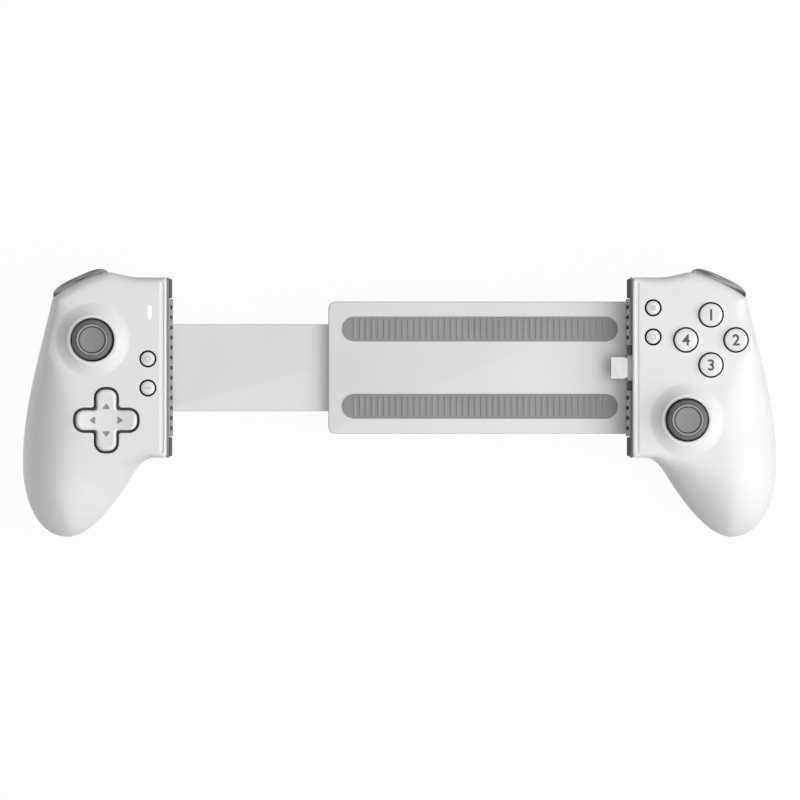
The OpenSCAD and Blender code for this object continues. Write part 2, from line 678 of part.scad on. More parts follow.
// Round buttons: cap, flange behind the collar and foot on the dome
crown_h = 0.9;
module round_button(p, d, hole_r, proud, travel) {
    top = face_z + proud;
    r = d / 2;
    foot_r = 0.6 * r;
    foot = foot_z(travel);
    flange_r = hole_r + flange_overlap;
    flange_high = flange_low + flange_t;
    translate([p.x, p.y, 0]) rotate_extrude() polygon([[0, foot], [foot_r, foot], [foot_r, flange_low],
        [flange_r, flange_low], [flange_r, flange_high], [r, flange_high], [r, top - crown_h],
        [r - 0.28 * crown_h, top - 0.45 * crown_h], [r - 0.9 * crown_h, top - 0.13 * crown_h], [0, top]]);
}
module face_button(i) color(white_shell) right_half()
    round_button(face_at[i], face_button_d, face_hole_r, face_button_proud, face_button_travel);
module small_button(p)
    round_button(p, small_button_d, small_hole_r, small_button_proud, small_button_travel);
module face_button_top() face_button(0);
module face_button_right() face_button(1);
module face_button_bottom() face_button(2);
module face_button_left() face_button(3);
module right_small_button_upper() color(white_shell) right_half() small_button(right_small[0]);
module right_small_button_lower() color(white_shell) right_half() small_button(right_small[1]);
module left_small_button_upper() color(white_shell) left_half() small_button(left_small[0]);
module left_small_button_lower() color(white_shell) left_half() small_button(left_small[1]);

// Status light: a light pipe from the board to the slot in the front shell
module status_light() color("aliceblue") left_half() translate([light_x, light_y, board_top])
    linear_extrude(face_z - board_top) rotate(90) stadium(light_l - 2 * run_fit, light_w - 2 * run_fit);

// D-pad: a cross on a ball, so that it rocks both ways
dpad_pivot_z = 30;
dpad_hub_r = 3.5;
dpad_post_d = 3.4;
dpad_flange_h = 1.4;
dpad_foot_r = 1.5;
dpad_foot_z = foot_z(face_button_travel);
dpad_top_z = face_z + dpad_proud;
dpad_flange_z = dpad_pivot_z + 1;
module dpad() color(white_shell) left_half() translate([dpad_x, dpad_y, 0]) difference() {
    union() {
        translate([0, 0, dpad_flange_z]) linear_extrude(dpad_top_z - dpad_flange_z)
            cross_plan(dpad_span, dpad_arm_w);
        translate([0, 0, dpad_flange_z]) linear_extrude(dpad_flange_h)
            cross_plan(dpad_span + 2 * dpad_gap + 2.2, dpad_arm_w + 2 * dpad_gap + 2.2);
        translate([0, 0, dpad_pivot_z - 0.1]) cylinder(r = dpad_hub_r, h = 2);
        for (a = [0:90:270]) rotate(a) translate([dpad_key_r, 0, dpad_foot_z])
            cylinder(r = dpad_foot_r, h = dpad_flange_z - dpad_foot_z + dpad_flange_h / 2);
    }
    translate([0, 0, dpad_pivot_z]) sphere(d = dpad_ball_d + 2 * run_fit);
}
module dpad_ball() color(steel) left_half()
    translate([dpad_x, dpad_y, dpad_pivot_z]) sphere(d = dpad_ball_d);
module dpad_post() color("lightgray") left_half() translate([dpad_x, dpad_y, 0]) difference() {
    translate([0, 0, board_top]) cylinder(d = dpad_post_d, h = dpad_pivot_z - 1.1 - board_top);
    translate([0, 0, dpad_pivot_z]) sphere(d = dpad_ball_d + 2 * run_fit);
}

// Thumbsticks: housing, carrier that clicks down, yoke that tilts sideways, shaft that tilts up and down
yoke_half = [5.2, 4, 1.8];
yoke_hole = [3.1, 2.6];
hub_r = 2;
trunnion_r = 1;
carrier_half_x = 2.4;
carrier_in_y = 4.5;
carrier_out_y = 6.3;
carrier_top = 1.25;
carrier_low = -3.9;
carrier_base_t = 0.8;
housing_wall_t = 1.2;
housing_plate_t = 0.5;
housing_hole_r = 6.7;
housing_top_z = stick_pivot_z + carrier_top + 0.25 + housing_plate_t;
dome_gap = 0.45;
dome_r = norm([stick_hole_d / 2, face_z - shell_t - stick_pivot_z]) - dome_gap;
dome_angle = 50;
dome_steps = 6;
cap_ring_r = 5.55;
cap_dish_r = 4.5;
cap_seat_z = 5;
module at_stick(p) translate([p.x, p.y, stick_pivot_z]) children();
module along_x(r, half) rotate([0, 90, 0]) cylinder(r = r, h = 2 * half, center = true);
module along_y(r, half) rotate([90, 0, 0]) cylinder(r = r, h = 2 * half, center = true);
module stick_housing(p) translate([p.x, p.y, 0]) difference() {
    slab(span(stick_housing_w / 2), span(stick_housing_w / 2), [board_top, housing_top_z]);
    slab(span(stick_housing_w / 2 - housing_wall_t), span(stick_housing_w / 2 - housing_wall_t),
        [board_top - 1, housing_top_z - housing_plate_t]);
    cylinder(r = housing_hole_r, h = far);
}
module stick_carrier(p) at_stick(p) difference() {
    slab(span(carrier_half_x), span(carrier_out_y), [carrier_low, carrier_top]);
    slab(span(far), span(carrier_in_y), [carrier_low + carrier_base_t, far]);
    along_y(trunnion_r + run_fit, far);
}
module stick_yoke(p) at_stick(p) difference() {
    union() {
        slab(span(yoke_half.x), span(yoke_half.y), span(yoke_half.z));
        along_y(trunnion_r, carrier_out_y);
    }
    slab(span(yoke_hole.x), span(yoke_hole.y), span(far));
    along_x(trunnion_r + run_fit, far);
}
module stick_shaft(p) at_stick(p) {
    along_x(hub_r, yoke_hole.x - 0.2);
    along_x(trunnion_r, yoke_half.x - 0.2);
    cylinder(d = stick_shaft_d, h = stick_cap_lift + stick_cap_h - 2.3);
}
module stick_cap(p) {
    r = stick_cap_d / 2;
    neck_r = stick_neck_d / 2;
    bore_r = stick_shaft_d / 2 + run_fit / 2;
    top = stick_cap_lift + stick_cap_h;
    inner_r = dome_r - stick_dome_t;
    dome_in = [for (i = [0:dome_steps]) let (a = mix(asin(neck_r / inner_r), dome_angle, i / dome_steps))
        inner_r * [sin(a), cos(a)]];
    dome_out = [for (i = [dome_steps:-1:0]) let (a = mix(asin(neck_r / dome_r), dome_angle, i / dome_steps))
        dome_r * [sin(a), cos(a)]];
    at_stick(p) rotate_extrude() polygon(concat(
        [[bore_r, cap_seat_z], [neck_r, cap_seat_z]], dome_in, dome_out,
        [[neck_r, stick_cap_lift - 1.5], [0.72 * r, stick_cap_lift - 0.2], [r - 0.4, stick_cap_lift],
        [r, stick_cap_lift + 0.5], [r, top - 1], [r - 0.3, top - 0.3], [r - 0.9, top], [cap_ring_r, top],
        [cap_dish_r, top - 0.6], [0, top - 0.9], [0, top - 2.2], [bore_r, top - 2.2]]));
}
module left_stick_housing() color("darkgray") left_half() stick_housing(left_stick);
module right_stick_housing() color("darkgray") right_half() stick_housing(right_stick);
module left_stick_carrier() color("beige") left_half() stick_carrier(left_stick);
module right_stick_carrier() color("beige") right_half() stick_carrier(right_stick);
module left_stick_yoke() color(dark_frame) left_half() stick_yoke(left_stick);
module right_stick_yoke() color(dark_frame) right_half() stick_yoke(right_stick);
module left_stick_shaft() color(steel) left_half() stick_shaft(left_stick);
module right_stick_shaft() color(steel) right_half() stick_shaft(right_stick);
module left_stick_cap() color(grey_cap) left_half() stick_cap(left_stick);
module right_stick_cap() color(grey_cap) right_half() stick_cap(right_stick);

// Bumpers: an arched bar on an upright pin at its inner end
bumper_arch = curve([[-bumper_half, 0.2], [-0.945 * bumper_half, bumper_reach],
    [-0.45 * bumper_half, bumper_reach], [0, bumper_reach]], 10);
module bumper() at_shoulder() difference() {
    translate([0, 0, bumper_low_z]) linear_extrude(bumper_high_z - bumper_low_z) polygon(concat(
        [[-bumper_half, -bumper_depth]], bumper_arch,
        [for (i = [len(bumper_arch) - 2:-1:0]) [-bumper_arch[i].x, bumper_arch[i].y]],
        [[bumper_half, -bumper_depth]]));
    translate([bumper_pin_at.x, bumper_pin_at.y, 0]) cylinder(d = bumper_pin_d + 2 * run_fit, h = far);
}
module left_bumper() color("slategray") left_half() bumper();
module right_bumper() color("slategray") right_half() bumper();
module left_bumper_pin() color(steel) left_half() bumper_axle();
module right_bumper_pin() color(steel) right_half() bumper_axle();

// Triggers: a curved blade behind each bumper, on a pin, with a torsion spring at the middle of its hub
trigger_hub_r = trigger_pin_d / 2 + 1.6;
spring_slot = 3.2;
trigger_top_z = pocket_floor_z - 0.4;
trigger_face = curve([[-0.6, trigger_top_z], [bumper_reach - 0.2, mix(trigger_tip_z, trigger_top_z, 0.74)],
    [bumper_reach, mix(trigger_tip_z, trigger_top_z, 0.16)], [-1.1, trigger_tip_z]], 12);
trigger_inner = [[-3.3, trigger_tip_z + 0.3], [-3.1, trigger_tip_z + 4.7], [-3.3, trigger_pin_z - 4.8],
    [-trigger_pin_depth, trigger_pin_z - trigger_hub_r],
    [-trigger_pin_depth, trigger_pin_z + trigger_hub_r - 0.2]];
module trigger() at_shoulder() difference() {
    union() {
        rotate([90, 0, 90]) translate([0, 0, -trigger_half_w]) linear_extrude(2 * trigger_half_w)
            polygon(concat(trigger_face, trigger_inner));
        translate([0, -trigger_pin_depth, trigger_pin_z]) along_x(trigger_hub_r, trigger_half_w);
    }
    translate([0, -trigger_pin_depth, trigger_pin_z]) along_x(trigger_pin_d / 2 + run_fit, far);
    slab(span(spring_slot), span(trigger_hub_r + 0.6, -trigger_pin_depth),
        span(trigger_hub_r + 0.6, trigger_pin_z));
}
module trigger_pin() trigger_axle(trigger_pin_d, trigger_pin_half - 0.1);
module left_trigger() color("dimgray") left_half() trigger();
module right_trigger() color("dimgray") right_half() trigger();
module left_trigger_pin() color(steel) left_half() trigger_pin();
module right_trigger_pin() color(steel) right_half() trigger_pin();

// Round wire swept along a coil whose axis is X
wire_sides = 6;
function coil(r, x0, x1, turns, steps) = [for (i = [0:turns * steps]) let (a = 360 * i / steps)
    [mix(x0, x1, i / (turns * steps)), r * cos(a), r * sin(a)]];
module coil_wire(r, x0, x1, turns, steps, wire_d) loft([for (c = coil(r, x0, x1, turns, steps))
    let (out = [0, c.y, c.z] / r) [for (k = [0:wire_sides - 1]) let (b = 360 * k / wire_sides)
        c + wire_d / 2 * (cos(b) * out + [sin(b), 0, 0])]], false);
trigger_wire_d = 0.6;
trigger_coil_r = trigger_pin_d / 2 + trigger_wire_d / 2 + 0.2;
trigger_turns = 4;
trigger_ring_steps = 10;
trigger_coil_half = spring_slot - 0.5;
module trigger_spring() at_shoulder() translate([0, -trigger_pin_depth, trigger_pin_z])
    coil_wire(trigger_coil_r, -trigger_coil_half, trigger_coil_half, trigger_turns, trigger_ring_steps,
        trigger_wire_d);
module left_trigger_spring() color(steel) left_half() trigger_spring();
module right_trigger_spring() color(steel) right_half() trigger_spring();

// Ribbed pads on their carriers, on the inner walls
teeth_l = tooth_count * tooth_pitch - notch_w;
corner_cut = 1.6;
module carrier_plan() polygon([[0, -wall_h / 2], [0, wall_h / 2], [-carrier_t, wall_h / 2 - corner_cut],
    [-carrier_t, -wall_h / 2 + corner_cut]]);
module pad_carrier() translate([0, cradle_y, pad_low_z]) linear_extrude(pad_h) carrier_plan();
module rubber_pad() translate([-carrier_t - pad_base_t, cradle_y - teeth_l / 2, pad_low_z]) {
    cube([pad_base_t, teeth_l, pad_h]);
    for (i = [0:tooth_count - 1]) translate([-tooth_h, i * tooth_pitch, 0])
        cube([tooth_h, tooth_pitch - notch_w, pad_h]);
}
module left_pad_carrier() color(dark_frame) left_half() pad_carrier();
module left_rubber_pad() color(rubber_grey) left_half() rubber_pad();
module right_pad_carrier() color(dark_frame) right_half() difference() {
    pad_carrier();
    plug_window([-far, far]);
}
module right_rubber_pad() color(rubber_grey) right_half() difference() {
    rubber_pad();
    plug_window([-far, far]);
}

// USB plug: a carrier that tilts in a bracket on the board, behind the window in the right wall
plug_pivot_x = 4;
plug_pin_r = 1;
plug_half = 4.9;
plug_ear = [plug_half + slide_gap, plug_half + slide_gap + 1.9];
plug_block = [1.4, 6];
plug_block_h = 4.4;
plug_flange_x = 0.3;
plug_flange_h = 6.4;
plug_wall_t = 0.35;
module plug_plan(w, t) rotate(90) stadium(w, t);
module at_plug() right_half() translate([0, plug_y, plug_z]) children();
module plug_carrier() color("gainsboro") at_plug() difference() {
    union() {
        slab([plug_flange_x, plug_block[0]], span(plug_ear[1] + 0.3), span(plug_flange_h / 2));
        slab(plug_block, span(plug_half), span(plug_block_h / 2));
        translate([plug_pivot_x, 0, 0]) along_y(plug_pin_r, plug_ear[1]);
    }
    rotate([0, -90, 0]) translate([0, 0, -plug_pivot_x]) linear_extrude(far) plug_plan(plug_w, plug_t);
}
module plug_shell() color(steel) at_plug() rotate([0, -90, 0]) translate([0, 0, -plug_pivot_x])
    linear_extrude(plug_reach + plug_pivot_x) difference() {
        plug_plan(plug_w, plug_t);
        plug_plan(plug_w - 2 * plug_wall_t, plug_t - 2 * plug_wall_t);
    }
module plug_tongue() color("black") at_plug() rotate([0, -90, 0]) translate([0, 0, -plug_pivot_x])
    difference() {
        linear_extrude(plug_reach + plug_pivot_x - 0.3)
            plug_plan(plug_w - 2 * plug_wall_t, plug_t - 2 * plug_wall_t);
        translate([0, 0, plug_pivot_x + 1]) linear_extrude(far) plug_plan(6.7, 0.7);
    }
module plug_bracket() color("silver") at_plug() {
    bracket_x = [2.5, 6.2];
    difference() {
        for (s = [0, 1]) mirror([0, s, 0])
            slab(bracket_x, plug_ear, [board_top - plug_z, plug_pin_r + 1.4]);
        translate([plug_pivot_x, 0, 0]) along_y(plug_pin_r + run_fit, far);
    }
    slab(bracket_x, span(plug_ear[1]), [board_top - plug_z, board_top - plug_z + 1]);
}

// Bridge: rear cover with end walls and the tongue that is screwed into the right grip
bridge_left_x = -(wall_x - close_travel) + bridge_end_gap;
bridge_l = wall_x - bridge_left_x;
cover_z = bridge_high_z - bridge_skin_t;
rod_z = slide_z + slide_t / 2;
stop_gap = 0.5;
catch_l = 3;
catch_half_w = 6;
carriage_x = wall_x - bridge_end_t - stop_gap - close_travel;
stop_x = carriage_x - catch_l - open_travel - stop_gap;
floor_z = bridge_low_z + bridge_skin_t;
module in_bridge() translate([0, cradle_y, 0]) children();
module rod_pair(r, x0, x1) for (s = [-1, 1]) translate([x0, s * rod_y, rod_z])
    rotate([0, 90, 0]) cylinder(r = r, h = x1 - x0);
module bridge_rear_cover() color(white_shell) in_bridge() difference() {
    union() {
        difference() {
            slab([bridge_left_x, wall_x], span(bridge_half), [bridge_low_z, cover_z]);
            slab([bridge_left_x + bridge_end_t, wall_x - bridge_end_t], span(bridge_half - bridge_wall_t),
                [floor_z, far]);
        }
        slab([stop_x - catch_l, stop_x], span(catch_half_w), [floor_z - 0.1, slide_z - slide_gap]);
        slab([wall_x - 1, wall_x + tongue_l], span(slide_half_w), [slide_z, slide_top]);
    }
    slab([bridge_left_x - 1, bridge_left_x + bridge_end_t + 1], span(slide_half_w + slide_gap),
        [slide_z - slide_gap, slot_top_z]);
    slab([wall_x - bridge_end_t - 1, wall_x + 1], span(ribbon_w / 2 + 1), [slide_top, slot_top_z]);
    rod_pair(rod_d / 2, bridge_left_x - 1, wall_x + 1);
    for (p = anchor_screws) translate([wall_x + p.x, p.y - cradle_y, 0])
        cylinder(d = screw_d + 2 * run_fit, h = far);
}
cover_rib_t = 1;
module bridge_front_cover() color(white_shell) in_bridge() {
    slab([bridge_left_x, wall_x], span(bridge_half), [cover_z, bridge_high_z]);
    for (s = [0, 1]) mirror([0, s, 0]) slab([bridge_left_x + bridge_end_t, wall_x - bridge_end_t],
        [bridge_half - bridge_wall_t - cover_rib_t, bridge_half - bridge_wall_t], [cover_z - 1, cover_z]);
}
strip_inset = 5;
module bridge_rubber_strips() color(rubber_grey) in_bridge() for (s = [-1, 1])
    translate([(bridge_left_x + wall_x) / 2, s * strip_y, bridge_high_z])
    linear_extrude(strip_t) stadium(bridge_l - 2 * strip_inset, strip_w);
module guide_rods() color(steel) in_bridge() rod_pair(rod_d / 2, bridge_left_x + 0.3, wall_x - 0.3);

// Slide plate: screwed into the left grip, with two lugs that run on the rods and a channel for the ribbon
lug_r = rod_d / 2 + 1.4;
channel_h = 0.7;
cover_sink = 2;
module slide_plate() color("gainsboro") in_bridge() difference() {
    union() {
        slab([-wall_x - tongue_l, carriage_x], span(slide_half_w), [slide_z, slide_top]);
        slab([carriage_x - lug_l, carriage_x], span(rod_y + lug_r), [slide_z, slide_top]);
        rod_pair(lug_r, carriage_x - lug_l, carriage_x);
        slab([carriage_x - catch_l, carriage_x], span(catch_half_w),
            [floor_z + slide_gap, slide_top - channel_h]);
    }
    rod_pair(rod_d / 2 + run_fit, -far, far);
    slab([-wall_x - ribbon_end_x, far], span(ribbon_w / 2 + 0.5), [slide_top - channel_h, far]);
    for (p = anchor_screws) translate([-wall_x - p.x, p.y - cradle_y, 0])
        cylinder(d = screw_d + 2 * run_fit, h = far);
}
module slide_cover() color("gainsboro") in_bridge()
    slab([-wall_x - cover_sink, carriage_x], span(slide_half_w), [slide_top, slide_top + slide_cover_t]);

// Closing springs: squeezed on the rods between the bridge's left end and the carriage
spring_ends = [bridge_left_x + bridge_end_t, carriage_x - lug_l];
spring_r = rod_d / 2 + spring_wire_d / 2 + 0.35;
spring_ring_steps = 8;
spring_end_gap = 0.6;
spring_x = [spring_ends[0] + spring_end_gap, spring_ends[1] - spring_end_gap];
function least_gap(path, steps, wire_d) =
    min([for (i = [0:len(path) - 1 - steps]) norm(path[i + steps] - path[i])]) - wire_d;
echo(least_gap_of_closing_spring = least_gap(
    coil(spring_r, spring_x[0], spring_x[1], spring_turns, spring_ring_steps),
    spring_ring_steps, spring_wire_d));
echo(least_gap_of_trigger_spring = least_gap(
    coil(trigger_coil_r, -trigger_coil_half, trigger_coil_half, trigger_turns, trigger_ring_steps),
    trigger_ring_steps, trigger_wire_d));
module bridge_springs() color(steel) in_bridge() for (s = [-1, 1]) translate([0, s * rod_y, rod_z])
    coil_wire(spring_r, spring_x[0], spring_x[1], spring_turns, spring_ring_steps, spring_wire_d);

// Ribbon cable: from the left board along the slide plate's channel, then in a loop to the right board
loop_r = 0.75;
channel_z = slide_top - channel_h / 2;
loop_x = (carriage_x + wall_x) / 2;
fold_back = 15;
fold_x = loop_x - fold_back;
wall_rise = [12, 6];
channel_run = [7, 3];
ribbon_steps = 6;
function half_turn(x, z, r, from) = [for (i = [0:ribbon_steps]) let (a = from + 180 * i / ribbon_steps)
    [x + r * cos(a), z + r * sin(a)]];
fold_r = 0.45 * loop_r;
return_z = channel_z + 2 * loop_r;
ribbon_path = concat(
    [[-wall_x - ribbon_end_x, ribbon_z], [-wall_x - channel_run[0], ribbon_z],
        [-wall_x - channel_run[1], channel_z]],
    half_turn(loop_x, channel_z + loop_r, loop_r, -90),
    reversed(half_turn(fold_x, return_z + fold_r, fold_r, 90)),
    [[wall_x - wall_rise[0], return_z + 2 * fold_r], [wall_x - wall_rise[1], ribbon_z],
        [wall_x + ribbon_end_x, ribbon_z]]);
function run_at(path, i) = let (a = path[max(i - 1, 0)], b = path[min(i + 1, len(path) - 1)])
    (b - a) / norm(b - a);
function beside(path, d) = [for (i = [0:len(path) - 1]) let (t = run_at(path, i))
    path[i] + d * [-t.y, t.x]];
module ribbon_cable() color("orange") in_bridge() translate([0, ribbon_w / 2, 0]) rotate([90, 0, 0])
    linear_extrude(ribbon_w) polygon(concat(beside(ribbon_path, ribbon_t / 2),
        reversed(beside(ribbon_path, -ribbon_t / 2))));

right_front_shell();
right_rear_shell();
right_circuit_board();
right_pad_carrier();
right_rubber_pad();
right_keypad();
right_stick_housing();
right_stick_carrier();
right_stick_yoke();
right_stick_shaft();
right_stick_cap();
face_button_top();
face_button_right();
face_button_bottom();
face_button_left();
right_small_button_upper();
right_small_button_lower();
right_bumper();
right_bumper_pin();
right_trigger();
right_trigger_pin();
right_trigger_spring();
right_screws();
plug_bracket();
plug_carrier();
plug_shell();
plug_tongue();
bridge_rear_cover();
bridge_front_cover();
bridge_rubber_strips();
guide_rods();
bridge_springs();
ribbon_cable();
slide_plate();
slide_cover();
left_front_shell();
left_rear_shell();
left_circuit_board();
left_pad_carrier();
left_rubber_pad();
left_keypad();
left_stick_housing();
left_stick_carrier();
left_stick_yoke();
left_stick_shaft();
left_stick_cap();
dpad();
dpad_ball();
dpad_post();
left_small_button_upper();
left_small_button_lower();
left_bumper();
left_bumper_pin();
left_trigger();
left_trigger_pin();
left_trigger_spring();
left_screws();
status_light();
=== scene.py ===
import json
import math
from typing import NamedTuple

import bmesh
import bpy
import numpy as np
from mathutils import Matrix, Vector
from mathutils.geometry import delaunay_2d_cdt


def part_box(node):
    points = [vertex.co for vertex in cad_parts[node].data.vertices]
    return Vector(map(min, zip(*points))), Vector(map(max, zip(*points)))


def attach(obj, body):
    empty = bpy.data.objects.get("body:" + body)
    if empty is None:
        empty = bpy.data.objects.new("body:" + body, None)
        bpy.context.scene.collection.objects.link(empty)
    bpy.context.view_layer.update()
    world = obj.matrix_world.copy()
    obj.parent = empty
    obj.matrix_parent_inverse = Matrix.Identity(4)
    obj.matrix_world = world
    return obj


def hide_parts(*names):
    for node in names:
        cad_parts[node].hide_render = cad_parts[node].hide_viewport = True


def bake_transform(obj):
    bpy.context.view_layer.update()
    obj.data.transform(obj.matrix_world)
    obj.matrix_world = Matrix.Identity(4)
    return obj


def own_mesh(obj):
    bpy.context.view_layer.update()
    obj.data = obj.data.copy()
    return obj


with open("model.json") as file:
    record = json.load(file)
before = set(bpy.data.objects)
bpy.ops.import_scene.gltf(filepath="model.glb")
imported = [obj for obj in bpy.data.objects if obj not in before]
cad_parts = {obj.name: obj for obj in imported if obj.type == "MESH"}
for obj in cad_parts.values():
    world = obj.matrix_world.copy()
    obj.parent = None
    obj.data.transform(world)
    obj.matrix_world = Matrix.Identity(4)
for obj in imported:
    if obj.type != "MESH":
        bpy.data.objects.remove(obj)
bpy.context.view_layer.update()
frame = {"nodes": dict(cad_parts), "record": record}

# Shapes are drawn in millimetres, in the CAD frame: +X right, +Y towards the shoulder buttons, +Z up.
# Each grip is drawn in its own frame, with x counted outwards from its inner wall.
MM = 0.001
RIGHT, LEFT = 1, -1
FRONT, REAR = 1, -1
SIDES = {RIGHT: "right", LEFT: "left"}
SCENE = bpy.context.scene
SLOT_OF = {part["node"]: part["material_slot"] for part in frame["record"]["subparts"]}
BODY_OF = {node: body for body, nodes in frame["record"]["behaviour"]["bodies"].items() for node in nodes}


def low_high(node):
    """Corners of a CAD node at rest, in millimetres."""
    low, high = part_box(node)
    return np.array(low) / MM, np.array(high) / MM


def middle(node):
    return sum(low_high(node)) / 2


def bottom_top(node):
    return [corner[2] for corner in low_high(node)]


WALL_X = low_high("right_front_shell")[0][0]
CRADLE_Y = middle("bridge_front_cover")[1]


def plan_of(node):
    """Middle of a CAD node in its grip's frame."""
    mid = middle(node)
    return np.array([abs(mid[0]) - WALL_X, mid[1]])


def grip_frame(points):
    """Points of a grip's frame in the CAD frame, for the right grip."""
    return np.asarray(points, float) + (WALL_X, 0, 0)


def on_side(side, shape):
    """A shape (verts, faces) of the right side, or its mirror image for the left."""
    verts, faces = shape
    if side == LEFT:
        return np.asarray(verts) * (-1, 1, 1), [f[::-1] for f in faces]
    return shape


def about(centre, half):
    return centre - half, centre + half


def ease(t):
    t = np.clip(t, 0, 1)
    return t * t * (3 - 2 * t)


# Shoulder of a grip: the line from its crown to its outer corner, which carries bumper and trigger
CROWN, SHOULDER = np.array([20.8, 47.2]), np.array([41.4, 37.8])
SHOULDER_MID = (CROWN + SHOULDER) / 2
SHOULDER_HALF = np.linalg.norm(SHOULDER - CROWN) / 2
SHOULDER_TURN = math.atan2(SHOULDER[1] - CROWN[1], SHOULDER[0] - CROWN[0])
TURN_COS, TURN_SIN = math.cos(SHOULDER_TURN), math.sin(SHOULDER_TURN)
# Turned level about the origin, the right shoulder lies at this height and ends this far out
SHOULDER_LINE = TURN_COS * CROWN[1] - TURN_SIN * (WALL_X + CROWN[0])
SHOULDER_END = TURN_COS * (WALL_X + SHOULDER[0]) + TURN_SIN * SHOULDER[1]


def at_shoulder(points):
    """Points of the shoulder's frame (along, outwards, height) in the CAD frame, for the right grip."""
    along, out, z = np.asarray(points, float).T
    x = SHOULDER_MID[0] + TURN_COS * along - TURN_SIN * out
    return grip_frame(np.column_stack([x, SHOULDER_MID[1] + TURN_SIN * along + TURN_COS * out, z]))


# Materials
def feed(tree, node, *values, **named):
    """Sets a node's inputs, in order or by name (_ for a space), to constants or other nodes' outputs."""
    for key, value in (*enumerate(values), *named.items()):
        socket = node.inputs[key if isinstance(key, int) else key.replace("_", " ")]
        if isinstance(value, bpy.types.NodeSocket):
            tree.links.new(value, socket)
        else:
            socket.default_value = value


def add_node(tree, kind, *values, out=0, **named):
    """Output of a new shader node; a name in small letters is a setting of the node, another an input."""
    node = tree.nodes.new("ShaderNode" + kind)
    for key in [key for key in named if key.islower()]:
        setattr(node, key, named.pop(key))
    feed(tree, node, *values, **named)
    return node.outputs[out]


def noise(tree, vector, scale, detail):
    return add_node(tree, "TexNoise", vector, Scale=scale, Detail=detail)


def maths(tree, operation, *values):
    return add_node(tree, "Math", *values, operation=operation)


def ramp(tree, fac, stops):
    """Colour ramp over fac: stops are (position, colour)."""
    color = add_node(tree, "ValToRGB", fac)
    elements = color.node.color_ramp.elements
    while len(elements) < len(stops):
        elements.new(0.5)
    for element, (position, rgb) in zip(elements, stops):
        element.position = position
        element.color = (*rgb, 1)
    return color


def remap(tree, fac, low, high):
    """low to high, where fac goes from 0 to 1."""
    return add_node(tree, "MapRange", fac, To_Min=low, To_Max=high)


def span(tree, value, low, high):
    """0 to 1, where a length goes from low to high (mm)."""
    return add_node(tree, "MapRange", value, From_Min=low * MM, From_Max=high * MM)


def shader(name):
    """A new material: (material, node tree, object coordinates in metres)."""
    mat = bpy.data.materials.new(name)
    mat.use_nodes = True
    return mat, mat.node_tree, add_node(mat.node_tree, "TexCoord", out="Object")


def surface(mat, color, rough, height, strength, depth, **sockets):
    """Gives a material its colour, gloss, bump (depth in metres) and constants."""
    tree = mat.node_tree
    normal = add_node(tree, "Bump", Strength=strength, Distance=depth, Height=height)
    feed(tree, tree.nodes["Principled BSDF"], Base_Color=color, Roughness=rough, Normal=normal, **sockets)
    return mat


def shade(color, factor):
    return tuple(c * factor for c in color)


# Below this height, over a short fade, a button's side is painted dark: painted shade for the gap round it
GAP_SHADE_TOP, GAP_SHADE_FADE = 35.7, 0.3
GRAIN_BUMP, GLOSS_SPREAD, CLOUD_SCALE = 0.35, 0.06, 45


def moulded(name, color, rough, grain, depth, clouding, painted_side_shade=None, **sockets):
    """Moulded plastic or rubber: faint clouds, uneven gloss and a grain, per metre, of a depth in metres.

    Below the shell's face, a button's side takes a dark tone: painted shade for the gap round it."""
    mat, tree, place = shader(name)
    fine = noise(tree, place, grain, 2)
    tone = ramp(tree, noise(tree, place, CLOUD_SCALE, 4), [(0.3, shade(color, 1 - clouding)), (0.7, color)])
    if painted_side_shade:
        level = span(tree, add_node(tree, "SeparateXYZ", place, out="Z"), GAP_SHADE_TOP - GAP_SHADE_FADE, GAP_SHADE_TOP)
        tone = add_node(tree, "MixRGB", level, (*painted_side_shade, 1), tone)
    gloss = remap(tree, fine, *about(rough, GLOSS_SPREAD))
    return surface(mat, tone, gloss, fine, GRAIN_BUMP, depth, **sockets)


def metal(name, color, rough, streak=(1, 1, 1)):
    mat, tree, place = shader(name)
    lines = noise(tree, add_node(tree, "Mapping", place, Scale=streak), 900, 5)
    tone = ramp(tree, lines, [(0.25, shade(color, 0.88)), (0.75, color)])
    return surface(mat, tone, remap(tree, lines, rough - 0.08, rough + 0.1), lines, 0.15, 2e-6, Metallic=1.0)


# Tones of a bumper, with light painted in: near black for painted shade, pale for a painted highlight
SMOKE_SHADE_HIGHLIGHT_STOPS = [(0.12, (0.012, 0.012, 0.014)), (0.26, (0.03, 0.03, 0.034)), (0.4, (0.2, 0.2, 0.21)),
               (0.56, (0.62, 0.62, 0.63)), (0.7, (0.36, 0.36, 0.37)), (0.9, (0.06, 0.06, 0.065))]


def smoke(side):
    """Smoky plastic of a bumper, with light painted in: painted shade along the shell, a painted highlight
    band between, painted highlight streaks, darker at the outer end.
    """
    mat, tree, place = shader(f"smoke_{SIDES[side]}")
    level = add_node(tree, "Mapping", place, Rotation=(0, 0, -side * SHOULDER_TURN))
    highlight_streaks = noise(tree, add_node(tree, "Mapping", level, Scale=(0.04, 1, 0.12)), 1100, 1)
    clouds = noise(tree, level, 90, 1)
    parts = add_node(tree, "SeparateXYZ", level).node.outputs
    tone = span(tree, parts["Y"], SHOULDER_LINE - 0.6, SHOULDER_LINE + 3.6)
    for field, swing in ((highlight_streaks, 0.6), (clouds, 0.3)):
        tone = maths(tree, "ADD", tone, remap(tree, field, -swing, swing))
    inner = span(tree, maths(tree, "ABSOLUTE", parts["X"]), SHOULDER_END - 0.9, SHOULDER_END - 1.8)
    color = ramp(tree, maths(tree, "MULTIPLY", tone, inner), SMOKE_SHADE_HIGHLIGHT_STOPS)
    return surface(mat, color, remap(tree, clouds, 0.14, 0.28), highlight_streaks, 0.12, 2e-5,
                   Transmission_Weight=0.15, IOR=1.5, Coat_Weight=0.3)


